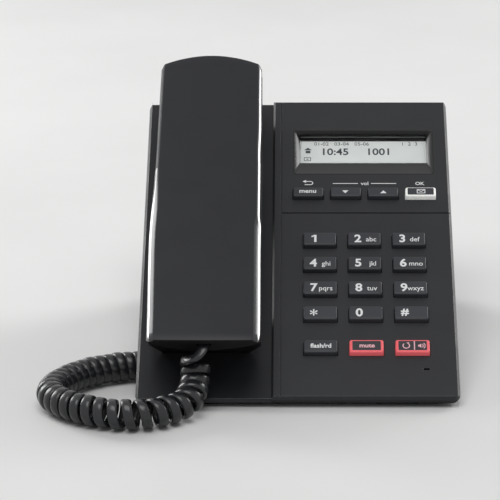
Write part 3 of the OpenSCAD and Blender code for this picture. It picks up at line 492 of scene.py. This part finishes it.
# ---- Handset back ----
MOUTH_V, EAR_V = 7.4, 195.8
MOUTH_HALF, EAR_HALF = 25.5, 24.3
MOUTH_BOW, EAR_BOW = 1.5, 5.3
BACK_N, BACK_CROWN = 32.0, 1.2
SHELL_JOINT_N = 22.0
SHELL_T = 2.0
RIM_DEPTH = 2.2
RIM_LOW_N = 29.6
LIP_END_V = 21.0
LIP_LOW_N = 22.5
LIP_ARC_R = 71.0
CORNER_R = 1.6
LEDGE = 0.65
# How far each side stands out from a straight line between mouth and ear, as (v, left, right)
SIDE_SWELL = [
    (0, 0.65, 0.2), (24, 1, 0.35), (44, 1.55, 0.35), (64, 2.05, 0.35), (76, 2.2, 0.45), (86, 2.05, 0.6),
    (94, 1.75, 0.65), (106, 1.25, 0.75), (118, 0.95, 0.8), (132, 0.85, 0.7), (166, 0.8, 0.6), (210, 0.7, 0.9)]
# Two facets of each side's chamfer, as (outer width, outer drop, inner width, inner drop)
CHAMFER_LOW = (1.15, 1.4, 2.1, 1.35)
CHAMFER_HIGH = ((0.6, 1.5, 1.2, 0.65), (0.95, 1.15, 0.85, 0.5))
EAR_ROUND = 0.9
LOFT_STEPS = 96
CROWN_STEPS = 14
# How fast the bow of each end fades along the handset
MOUTH_FADE, EAR_FADE = 8, 12
# Slot in the lip below the handset's socket, as (half width, low, high)
SOCKET_SLOT = (3.2, 25.5, 28.5)
CUT_START_V, CUT_FLOOR_N = -5, 5
# Facets of the back are told apart by where they face and lie: the chamfers, but not those high on the left,
# get the painted highlight, and the mouth's end and the lip's underside get painted shade
OUTER_FACET = 0.63
LEFT_FACETS_END_V = 119
MOUTH_FACE_END_V = 8.8


def swell(v, side):
    """Swell of the left (1) or right (2) side at v."""
    for low, high in zip(SIDE_SWELL, SIDE_SWELL[1:]):
        if v <= high[0]:
            return low[side] + (high[side] - low[side]) * (v - low[0]) / (high[0] - low[0])
    return SIDE_SWELL[-1][side]


def side_half(v, side):
    """Half width of one side, eased over a few millimetres so that the outline has no kinks."""
    share = (v - MOUTH_V) / (EAR_V - MOUTH_V)
    eased = sum(swell(v + step, side) for step in (-3, -1.5, 0, 1.5, 3)) / 5
    return MOUTH_HALF + (EAR_HALF - MOUTH_HALF) * share + eased


def round_corner(before, corner, after, reach, steps=5):
    """Points of a smooth turn at a corner, which starts and ends a distance from it."""
    corner = Vector(corner)
    start = corner + (Vector(before) - corner).normalized() * reach
    stop = corner + (Vector(after) - corner).normalized() * reach
    points = []
    for i in range(steps):
        t = i / (steps - 1)
        points.append(tuple(start * (1 - t) ** 2 + corner * 2 * t * (1 - t) + stop * t * t))
    return points


def handset_section(v, inset, low_n):
    """Outline across the handset from low left over the back to low right, as (x, n)."""
    upper = (smooth_between(v, 88, 122), smooth_between(v, 81, 87))
    ledge = (0, LEDGE * upper[1] * (1 - 0.8 * smooth_between(v, 128, 150)))
    shoulder = BACK_N - inset - BACK_CROWN
    sides = []
    for k in range(2):
        edge = side_half(v, k + 1) - inset - ledge[k]
        out_w, out_d, in_w, in_d = [a + (b - a) * upper[k] for a, b in zip(CHAMFER_LOW, CHAMFER_HIGH[k])]
        foot = (edge, low_n)
        outer = (edge, shoulder - in_d - out_d)
        facet = (edge - out_w, shoulder - in_d)
        brow = (edge - out_w - in_w, shoulder)
        sides.append([foot, (edge, (low_n + outer[1]) / 2)] + round_corner(foot, outer, facet, 0.5)
                     + round_corner(outer, facet, brow, 0.3, 3)
                     + round_corner(facet, brow, (0, shoulder + 0.5), 0.3, 3))
    left = [(-x, n) for x, n in sides[0]]
    right = list(reversed(sides[1]))
    x0, x1 = left[-1][0], right[0][0]
    crown = []
    for i in range(1, CROWN_STEPS):
        x = x0 + (x1 - x0) * i / CROWN_STEPS
        away = (2 * i / CROWN_STEPS - 1) ** 2
        crown.append((x, shoulder + BACK_CROWN * (1 - away)))
    return left + crown + right


def end_sag(x, bow, half):
    """How far the end of the plan draws back at x: a shallow bow with small round corners."""
    sag = bow * (x / half) ** 2
    over = abs(x) - (half - CORNER_R)
    if over > 0:
        sag += CORNER_R - math.sqrt(max(0, CORNER_R ** 2 - min(over, CORNER_R) ** 2))
    return sag


def handset_loft(name, inset, low_n, mouth_v):
    """Closed form of the handset's back above a level, drawn in by an inset."""
    # Each row is (distance from the mouth, drop below the back); None stands for the low level
    rows = [(0.0, None), (0.0, 0.7), (0.3, 0.28), (1.0, 0.0)]
    length = EAR_V - inset - mouth_v
    rows += [(5 + (length - 10) * i / LOFT_STEPS, 0.0) for i in range(LOFT_STEPS + 1)]
    for i in range(5):
        a = math.pi / 2 * i / 4
        rows.append((length - EAR_ROUND * (1 - math.sin(a)), EAR_ROUND * (1 - math.cos(a))))
    rows.append((length, None))
    verts = []
    for place, drop in rows:
        v0 = mouth_v + place
        outline = handset_section(v0, inset, low_n)
        for x, n in outline:
            t = place / length
            v = (v0 + end_sag(x, MOUTH_BOW, MOUTH_HALF) * (1 - t) ** MOUTH_FADE
                 - end_sag(x, EAR_BOW, EAR_HALF) * t ** EAR_FADE)
            level = low_n if drop is None else max(low_n, n - drop)
            verts.append(at(HANDSET_X + x, v, level))
    wide = len(outline)
    faces = []
    for j in range(len(rows) - 1):
        for i in range(wide - 1):
            faces.append((j * wide + i, j * wide + i + 1, (j + 1) * wide + i + 1, (j + 1) * wide + i))
        faces.append(((j + 1) * wide, (j + 1) * wide + wide - 1, j * wide + wide - 1, j * wide))
    faces += [tuple(reversed(range(wide))), tuple(range((len(rows) - 1) * wide, len(rows) * wide))]
    obj = mesh_object(name, verts, faces)
    clean_mesh(obj)
    return obj


def clean_mesh(obj, gap=0.004):
    work = bmesh.new()
    work.from_mesh(obj.data)
    bmesh.ops.remove_doubles(work, verts=work.verts, dist=gap * MM)
    bmesh.ops.dissolve_degenerate(work, edges=work.edges, dist=gap * MM)
    bmesh.ops.recalc_face_normals(work, faces=work.faces)
    work.to_mesh(obj.data)
    work.free()


def prism(name, outline, v0, v1):
    """Closed bar with an outline in (x, n) that runs along the slope."""
    count = len(outline)
    verts = [at(x, v, n) for v in (v0, v1) for x, n in outline]
    faces = [tuple(range(count)), tuple(reversed(range(count, 2 * count)))]
    faces += [(i, i + count, (i + 1) % count + count, (i + 1) % count) for i in range(count)]
    obj = mesh_object(name, verts, faces)
    clean_mesh(obj)
    return obj


def apply_modifiers(obj):
    bpy.context.view_layer.update()
    evaluated = obj.evaluated_get(bpy.context.evaluated_depsgraph_get())
    mesh = bpy.data.meshes.new_from_object(evaluated)
    obj.modifiers.clear()
    obj.data = mesh


def cut_away(obj, cutters):
    for cutter in cutters:
        cut = obj.modifiers.new("cut", "BOOLEAN")
        cut.operation = "DIFFERENCE"
        cut.solver = "EXACT"
        cut.object = cutter
    apply_modifiers(obj)
    for cutter in cutters:
        bpy.data.objects.remove(cutter)


def shade_by_angle(obj, degrees):
    obj.data.shade_smooth()
    obj.data.set_sharp_from_angle(angle=math.radians(degrees))


def paint_facets(back):
    """Paints the handset's back: a painted highlight in lighter, glossier plastic on the chamfers, and
    painted shade in near-black plastic on the mouth's end and under the lip.
    """
    for look in ("handset_highlight_edge", "handset_highlight_edge_soft", "handset_painted_shade"):
        back.data.materials.append(MATERIALS[look])
    turned = SLOPE.to_3x3().inverted()
    placed = SLOPE.inverted()
    for face in back.data.polygons:
        facing = turned @ face.normal
        place = placed @ face.center / MM
        left_high = place.x < HANDSET_X and place.y > LEFT_FACETS_END_V
        # Chamfer facets get the lighter, glossier plastics: painted highlight
        if abs(facing.x) > 0.2 and facing.z > 0.2 and place.z > SHELL_JOINT_N + 3 and not left_high:
            face.material_index = 1 if abs(facing.x) > OUTER_FACET else 2
        # The mouth's end and the lip's underside get the near-black plastic: painted shade
        elif facing.y < -0.8 and place.y < MOUTH_FACE_END_V or (
                place.z < RIM_LOW_N and place.y < LIP_END_V + 1
                and facing.z < 0.2 and abs(facing.x) < 0.5):
            face.material_index = 3


def make_handset():
    back = handset_loft("handset_back", 0, SHELL_JOINT_N, MOUTH_V)
    inner = handset_loft("inner", SHELL_T, SHELL_JOINT_N - 3, MOUTH_V + RIM_DEPTH + SHELL_T)
    steps = [MOUTH_HALF * 1.2 * (i / 8 - 1) for i in range(17)]
    rim = [(HANDSET_X + x, RIM_LOW_N - BACK_CROWN * (x / MOUTH_HALF) ** 2) for x in steps]
    under = [(HANDSET_X + x, LIP_LOW_N + LIP_ARC_R - math.sqrt(LIP_ARC_R ** 2 - x * x)) for x in steps]
    floor = [(HANDSET_X + steps[-1], CUT_FLOOR_N), (HANDSET_X + steps[0], CUT_FLOOR_N)]
    half, low_n, high_n = SOCKET_SLOT
    slot = [(HANDSET_X - half, low_n), (HANDSET_X + half, low_n),
            (HANDSET_X + half, high_n), (HANDSET_X - half, high_n)]
    cut_away(back, [inner, prism("rim_cut", rim + floor, CUT_START_V, MOUTH_V + RIM_DEPTH),
                    prism("lip_cut", under + floor, CUT_START_V, LIP_END_V),
                    prism("slot_cut", slot, CUT_START_V, MOUTH_V + 6)])
    clean_mesh(back)
    shade_by_angle(back, 24)
    paint(back, "handset")
    paint_facets(back)
    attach(back, "handset")
    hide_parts("handset_back_shell")
    soften_node("handset_front_shell", 0.5, 3)


def soften_housings():
    # The top housing's bevels get the lighter edge plastic, a painted highlight
    soften_node("top_housing", 0.4, 3, bevel_highlight_look="housing_highlight_edge")
    # Their shortest edges would clamp every bevel of these two to nothing
    soften_node("bottom_housing", 0.3, 2, clamp=False)
    soften_node("rear_stand", 0.4, 3, clamp=False)
    soften_node("rubber_feet", 0.4, 2)


# ---- Keys and legends ----
KEY_RISE = 2.4
LCD_N = -4.7
KEY_WALL_LOW = -3.0
KEY_FULL = 0.16
# Rings of a key cap from its foot to its top, as (inset, level)
CAP_RINGS = [(0.0, KEY_WALL_LOW), (0.12, 1.6), (0.2, 1.95), (0.36, 2.2), (0.62, 2.34), (0.95, KEY_RISE)]
ROWS = [50.5 + 15.9 * i for i in range(4)]
COLUMNS = [10.6 + 21.5 * i for i in range(3)]
CALL_V = 29.7
MENU_V = 129.7
MENU_X = [5.1 + 18.4 * i for i in range(4)]
NUMBER_SIZE = (16.0, 8.4)
CALL_SIZE = (16.0, 7.8)
MENU_SIZE = (15.0, 6.2)
LETTERS = {"2": "abc", "3": "def", "4": "ghi", "5": "jkl", "6": "mno", "7": "pqrs", "8": "tuv", "9": "wxyz"}
# Where the letters of a key end, right of its middle
LETTER_END = {"2": 5.9, "3": 5.1, "4": 5.2, "5": 5.6, "6": 6.4, "7": 6.0, "8": 5.6, "9": 6.3}
LETTER_SIZE, LETTER_DROP = 4.1, 1.9
NUMBER_KEYS = [("1", "2", "3"), ("4", "5", "6"), ("7", "8", "9"), ("star", "0", "hash")]
DIGIT_SIZE, DIGIT_LEFT, ONE_LEFT = 6.8, 3.1, 2.9
# Signs that aren't their key's name, as (sign, size)
SIGNS = {"star": ("*", 8.6), "hash": ("#", 5.9)}
LEGEND_T = 0.08
INLAY_TOP = KEY_RISE + 0.05
# Side lines of the small drawn boxes, as (half width, half height, half length of the upright lines, stroke)
ENVELOPE_BOX = (1.9, 1.2, 1.4, 0.4)
PANEL_BOX = (1.6, 1.1, 1.2, 0.35)
ONE_OUTLINE = [(0.2, -2.35), (1.35, -2.35), (1.35, 2.35), (0.35, 2.35), (-1.1, 1.6), (-1.1, 0.75), (0.2, 1.3)]


def rounded_rect(width, depth, radius, corner_steps=5):
    points = []
    for corner, (sx, sy) in enumerate(((1, 1), (-1, 1), (-1, -1), (1, -1))):
        for i in range(corner_steps):
            a = math.pi / 2 * (corner + i / (corner_steps - 1))
            points.append((sx * (width / 2 - radius) + radius * math.cos(a),
                           sy * (depth / 2 - radius) + radius * math.sin(a)))
    return points


def stacked(name, x, v, rings):
    """Closed form of outlines stacked along N; each ring is (outline, level)."""
    verts, faces = [], []
    count = len(rings[0][0])
    for outline, level in rings:
        verts += [at(x + a, v + b, level) for a, b in outline]
    for j in range(len(rings) - 1):
        for i in range(count):
            k = (i + 1) % count
            faces.append((j * count + i, j * count + k, (j + 1) * count + k, (j + 1) * count + i))
    faces.append(tuple(reversed(range(count))))
    faces.append(tuple(range((len(rings) - 1) * count, len(rings) * count)))
    return mesh_object(name, verts, faces)


def slab(name, x, v, outline, low, high, edge=0.05):
    """Flat piece with a small round at its top edge; the outline is a closed list of (x, v)."""
    inner = [(a * (1 - edge / max(1, abs(a))), b * (1 - edge / max(1, abs(b)))) for a, b in outline]
    return stacked(name, x, v, [(outline, low), (outline, high - edge), (inner, high)])


def key_body(key):
    return "key_" + key + "_body"


def make_cap(key, x, v, size, look):
    width, depth = size
    rings = []
    for inset, level in CAP_RINGS:
        grow = KEY_FULL - 2 * inset
        rings.append((rounded_rect(width + grow, depth + grow, 0.9 - inset * 0.4), level))
    cap = stacked("cap_" + key, x, v, rings)
    shade_by_angle(cap, 35)
    paint(cap, look)
    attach(cap, key_body(key))
    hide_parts("key_" + key)


def finish_legend(obj, body, look):
    paint(obj, look)
    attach(obj, body)


def words(name, text, x, v, n, size, body, look="legend", weight=0.0, align="CENTER", squeeze=1.0):
    """Raised lettering in the built-in font, turned into a mesh that lies on the slope."""
    data = bpy.data.curves.new(name, "FONT")
    data.body = text
    data.size = size
    data.offset = weight
    data.extrude = LEGEND_T / 2
    data.align_x = align
    data.resolution_u = 4
    holder = bpy.data.objects.new(name + "_font", data)
    bpy.context.scene.collection.objects.link(holder)
    bpy.context.view_layer.update()
    evaluated = holder.evaluated_get(bpy.context.evaluated_depsgraph_get())
    mesh = bpy.data.meshes.new_from_object(evaluated)
    bpy.data.objects.remove(holder)
    lows = min(vert.co.y for vert in mesh.vertices)
    highs = max(vert.co.y for vert in mesh.vertices)
    middle = (lows + highs) / 2 if align == "CENTER" else 0.0
    for vert in mesh.vertices:
        vert.co = at(x + vert.co.x * squeeze, v + vert.co.y - middle, n + vert.co.z)
    mesh.name = name
    obj = bpy.data.objects.new(name, mesh)
    bpy.context.scene.collection.objects.link(obj)
    finish_legend(obj, body, look)


def shape(name, x, v, n, outline, body, look="legend"):
    obj = slab(name, x, v, outline, n - LEGEND_T / 2, n + LEGEND_T / 2, 0.02)
    finish_legend(obj, body, look)


def arc_band(radius, width, start, stop, steps=18):
    """Closed outline of a curved stroke; angles are in degrees."""
    angles = [math.radians(start + (stop - start) * i / steps) for i in range(steps + 1)]
    outer = [((radius + width / 2) * math.cos(a), (radius + width / 2) * math.sin(a)) for a in angles]
    inner = [((radius - width / 2) * math.cos(a), (radius - width / 2) * math.sin(a))
             for a in reversed(angles)]
    return outer + inner


def bar(x0, v0, x1, v1, width):
    """Closed outline of a straight stroke."""
    along = Vector((x1 - x0, v1 - v0)).normalized() * 0.5 * width
    side = Vector((-along.y, along.x))
    a, b = Vector((x0, v0)), Vector((x1, v1))
    return [tuple(p) for p in (a + side, a - side, b - side, b + side)]


def box_strokes(half_x, half_v, half_side, width):
    """Outlines of a box's low, high, left and right lines."""
    return (bar(-half_x, -half_v, half_x, -half_v, width), bar(-half_x, half_v, half_x, half_v, width),
            bar(-half_x, -half_side, -half_x, half_side, width),
            bar(half_x, -half_side, half_x, half_side, width))


def make_number_keys():
    for r, row in enumerate(NUMBER_KEYS):
        for c, key in enumerate(row):
            x, v = COLUMNS[c], ROWS[3 - r]
            body = key_body(key)
            make_cap(key, x, v, NUMBER_SIZE, "key")
            if key == "1":
                shape("legend_1", x - ONE_LEFT, v, KEY_RISE, ONE_OUTLINE, body)
            else:
                sign, size = SIGNS.get(key, (key, DIGIT_SIZE))
                words("legend_" + key, sign, x - DIGIT_LEFT, v, KEY_RISE, size, body,
                      weight=0.08 if key == "star" else 0.19)
            if key in LETTERS:
                words("letters_" + key, LETTERS[key], x + LETTER_END[key], v - LETTER_DROP, KEY_RISE,
                      LETTER_SIZE, body, weight=0.03, align="RIGHT", squeeze=0.92)


def frame_inlay(key, x, v, size, margin=2.7):
    """Black inlay in the light frame of a key."""
    width, depth = size
    inlay = slab("inlay_" + key, x, v + 0.15, rounded_rect(width - margin, depth - 0.78 * margin, 0.45),
                 KEY_RISE - 0.6, INLAY_TOP, 0.06)
    paint(inlay, "key")
    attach(inlay, key_body(key))


def make_call_keys():
    make_cap("flash", COLUMNS[0], CALL_V, CALL_SIZE, "key")
    words("legend_flash", "flash/rd", COLUMNS[0] + 0.2, CALL_V + 0.1, KEY_RISE, 3.6, key_body("flash"),
          weight=0.1, squeeze=0.92)
    for key, x in (("mute", COLUMNS[1]), ("speaker", COLUMNS[2])):
        make_cap(key, x, CALL_V, CALL_SIZE, "red_key")
        frame_inlay(key, x, CALL_V, CALL_SIZE)
    words("legend_mute", "mute", COLUMNS[1] + 0.2, CALL_V, INLAY_TOP, 3.5, key_body("mute"),
          look="legend_pink", weight=0.1)
    x = COLUMNS[2]
    box = [(-0.9, 0.55), (-0.9, -0.55), (-0.3, -0.55), (0.6, -1.3), (0.6, 1.3), (-0.3, 0.55)]
    signs = [("speaker_divider", x + 0.8, CALL_V + 0.15, bar(0, -2.7, 0, 2.7, 0.55)),
             ("redial_ring", x - 3.0, CALL_V, arc_band(1.55, 0.5, -230, 60)),
             ("redial_tip", x - 3.0, CALL_V, [(0.1, 1.9), (1.5, 2.0), (1.2, 0.7)]),
             ("speaker_box", x + 3.4, CALL_V, box),
             ("speaker_wave_0", x + 3.5, CALL_V, arc_band(1.4, 0.4, -45, 45, 10)),
             ("speaker_wave_1", x + 3.5, CALL_V, arc_band(2.3, 0.4, -45, 45, 10))]
    for name, sign_x, sign_v, outline in signs:
        shape(name, sign_x, sign_v, INLAY_TOP, outline, key_body("speaker"), "legend_pink")


def make_menu_keys():
    for key, x in zip(("menu", "down", "up"), MENU_X):
        make_cap(key, x, MENU_V, MENU_SIZE, "key")
    words("legend_menu", "menu", MENU_X[0] - 0.2, MENU_V, KEY_RISE, 3.8, key_body("menu"), weight=0.07)
    arrow = [(-1.55, -0.95), (1.55, -0.95), (0, 0.95)]
    shape("legend_up", MENU_X[2] + 0.1, MENU_V - 0.2, KEY_RISE, arrow, key_body("up"))
    shape("legend_down", MENU_X[1] - 0.2, MENU_V - 0.2, KEY_RISE, [(a, -b) for a, b in reversed(arrow)],
          key_body("down"))
    x = MENU_X[3]
    make_cap("ok", x, MENU_V, MENU_SIZE, "white_key")
    frame_inlay("ok", x, MENU_V, MENU_SIZE, 2.1)
    flap = (bar(-1.8, 1.1, 0, -0.2, 0.4), bar(0, -0.2, 1.8, 1.1, 0.4))
    for i, stroke in enumerate(box_strokes(*ENVELOPE_BOX) + flap):
        shape("envelope_%d" % i, x + 0.2, MENU_V + 0.1, INLAY_TOP, stroke, key_body("ok"))


def make_face_labels():
    line_v = MENU_V + 7.8
    shape("vol_line_left", 23.5, line_v, 0, bar(-6.2, 0, 6.2, 0, 0.42), "base")
    shape("vol_line_right", 42.3, line_v, 0, bar(-6.2, 0, 6.2, 0, 0.42), "base")
    words("label_vol", "vol", 33.0, line_v, 0, 3.2, "base", weight=0.04)
    words("label_ok", "OK", 60.1, line_v, 0, 3.0, "base", weight=0.04)
    shape("back_arrow_bow", 6.3, line_v + 0.3, 0, arc_band(1.1, 0.45, -90, 90, 12), "base")
    shape("back_arrow_low", 4.9, line_v - 0.8, 0, bar(-1.5, 0, 1.4, 0, 0.45), "base")
    shape("back_arrow_high", 5.3, line_v + 1.4, 0, bar(-1.2, 0, 1.0, 0, 0.45), "base")
    shape("back_arrow_tip", 3.4, line_v + 1.4, 0, [(-1.1, 0), (0.7, -1.0), (0.7, 1.0)], "base")


# ---- Display ----
# The window and the opening round it, as (low x, low v, high x, high v)
WINDOW = (1.0, 153.9, 64.3, 173.6)
OPENING = (-1.8, 144.3, 67.1, 174.9)
# Section of the bezel liner, as (frame: 0 opening to 1 window, growth outward, corner radius, level)
BEZEL_RINGS = [(0, 0.55, 2.0, 0.0), (0, 0.5, 1.95, 0.07), (0, 0.1, 1.7, 0.09), (0, -0.12, 1.6, 0.0),
               (1, -0.1, 0.5, -2.4), (1, -0.15, 0.5, -3.3), (1, 0.05, 0.5, -3.3), (1, 0.12, 0.5, -2.45)]


def bezel_outline(share, growth, radius):
    x0, v0, x1, v1 = [a + (b - a) * share for a, b in zip(OPENING, WINDOW)]
    width, depth = x1 - x0 + 2 * growth, v1 - v0 + 2 * growth
    return [((x0 + x1) / 2 + a, (v0 + v1) / 2 + b) for a, b in rounded_rect(width, depth, radius, 6)]


def make_bezel():
    """Glossy liner of the display recess, with a fine lip round its edge."""
    verts, faces = [], []
    for share, growth, radius, level in BEZEL_RINGS:
        outline = bezel_outline(share, growth, radius)
        verts += [at(x, v, level) for x, v in outline]
    count, rings = len(outline), len(BEZEL_RINGS)
    for j in range(rings):
        k = (j + 1) % rings
        for i in range(count):
            m = (i + 1) % count
            faces.append((j * count + i, j * count + m, k * count + m, k * count + i))
    liner = mesh_object("display_bezel", verts, faces)
    clean_mesh(liner)
    shade_by_angle(liner, 40)
    paint(liner, "gloss")
    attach(liner, "base")
    # A black strip along the top of the LCD glass: painted shadow of the recess's top wall
    mask_v = WINDOW[3] - 0.9
    mask = slab("display_painted_shadow", (WINDOW[0] + WINDOW[2]) / 2, mask_v,
                rounded_rect(WINDOW[2] - WINDOW[0] + 2, 2.6, 0.3), LCD_N - 0.02, LCD_N + 0.06, 0.02)
    paint(mask, "shadow_mask")
    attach(mask, "base")


def make_lcd_content():
    """Generic clock, date and signs of the display, on the face of the LCD glass."""
    n = LCD_N + 0.03
    words("lcd_clock", "10:45", 18.5, 164.1, n, 6.4, "base", "lcd_ink", weight=0.12)
    words("lcd_number", "1001", 40.5, 164.1, n, 6.4, "base", "lcd_ink", weight=0.12)
    words("lcd_date", "01-02   03-04   05-06", 22.0, 169.6, n, 3.2, "base", "lcd_ink")
    words("lcd_day", "1  2  3", 56.0, 169.6, n, 3.2, "base", "lcd_ink")
    shape("lcd_home_roof", 5.1, 165.4, n, [(-1.9, -0.2), (1.9, -0.2), (0, 1.5)], "base", "lcd_ink")
    shape("lcd_home_box", 5.1, 163.9, n, bar(-1.2, 0, 1.2, 0, 1.7), "base", "lcd_ink")
    for i, stroke in enumerate(box_strokes(*PANEL_BOX) + (bar(-0.5, 0, 0.5, 0, 0.6),)):
        shape("lcd_panel_sign_%d" % i, 4.8, 158.9, n, stroke, "base", "lcd_ink")


# ---- Studio ----
# Lights, as (name, place, size across and along in metres, watts); the strips stand behind the sides, and the
# chamfers and rims reflect them to the front
LIGHTS = [("key_light", (-0.15, -0.55, 1.35), (1.0, 0.8), 8.5),
          ("left_strip", (-0.98, 0.75, 0.55), (0.5, 0.75), 8.5),
          ("right_strip", (0.98, 0.75, 0.55), (0.5, 0.75), 8.0)]
AIM = (0, 0, 0.05)
FLOOR_CORNERS = [(-3, -3, 0), (3, -3, 0), (3, 4, 0), (-3, 4, 0)]
# Light of the world on the object, and how bright it is where a ray meets it directly
FILL_COLOR, FILL = (0.95, 0.97, 1.0, 1), 0.3
BACKDROP_COLOR, BACKDROP = (1, 1, 1, 1), 0.75


def area_light(name, place, size, watts):
    data = bpy.data.lights.new(name, "AREA")
    data.shape = "RECTANGLE"
    data.size, data.size_y = size
    data.energy = watts
    light = bpy.data.objects.new(name, data)
    bpy.context.scene.collection.objects.link(light)
    light.location = place
    light.rotation_euler = (Vector(AIM) - Vector(place)).to_track_quat("-Z", "Y").to_euler()


def make_studio():
    floor = mesh_object("floor", FLOOR_CORNERS, [(0, 1, 2, 3)])
    paint(floor, "floor")
    for light in LIGHTS:
        area_light(*light)
    world = bpy.data.worlds.new("studio")
    world.use_nodes = True
    tree = world.node_tree
    background = tree.nodes["Background"]
    background.inputs["Color"].default_value = FILL_COLOR
    background.inputs["Strength"].default_value = FILL
    backdrop = tree.nodes.new("ShaderNodeBackground")
    backdrop.inputs["Color"].default_value = BACKDROP_COLOR
    backdrop.inputs["Strength"].default_value = BACKDROP
    path = tree.nodes.new("ShaderNodeLightPath")
    mix = tree.nodes.new("ShaderNodeMixShader")
    seen = path.outputs["Is Camera Ray"]
    for ray in ("Is Glossy Ray", "Is Transmission Ray"):
        either = tree.nodes.new("ShaderNodeMath")
        either.operation = "MAXIMUM"
        tree.links.new(seen, either.inputs[0])
        tree.links.new(path.outputs[ray], either.inputs[1])
        seen = either.outputs[0]
    tree.links.new(seen, mix.inputs["Fac"])
    tree.links.new(background.outputs["Background"], mix.inputs[1])
    tree.links.new(backdrop.outputs["Background"], mix.inputs[2])
    tree.links.new(mix.outputs["Shader"], tree.nodes["World Output"].inputs["Surface"])
    bpy.context.scene.world = world
    bpy.context.scene.view_settings.view_transform = "Standard"


def main():
    make_camera()
    make_cord()
    paint_nodes()
    make_handset()
    soften_housings()
    make_number_keys()
    make_call_keys()
    make_menu_keys()
    make_face_labels()
    make_bezel()
    make_lcd_content()
    make_studio()


main()
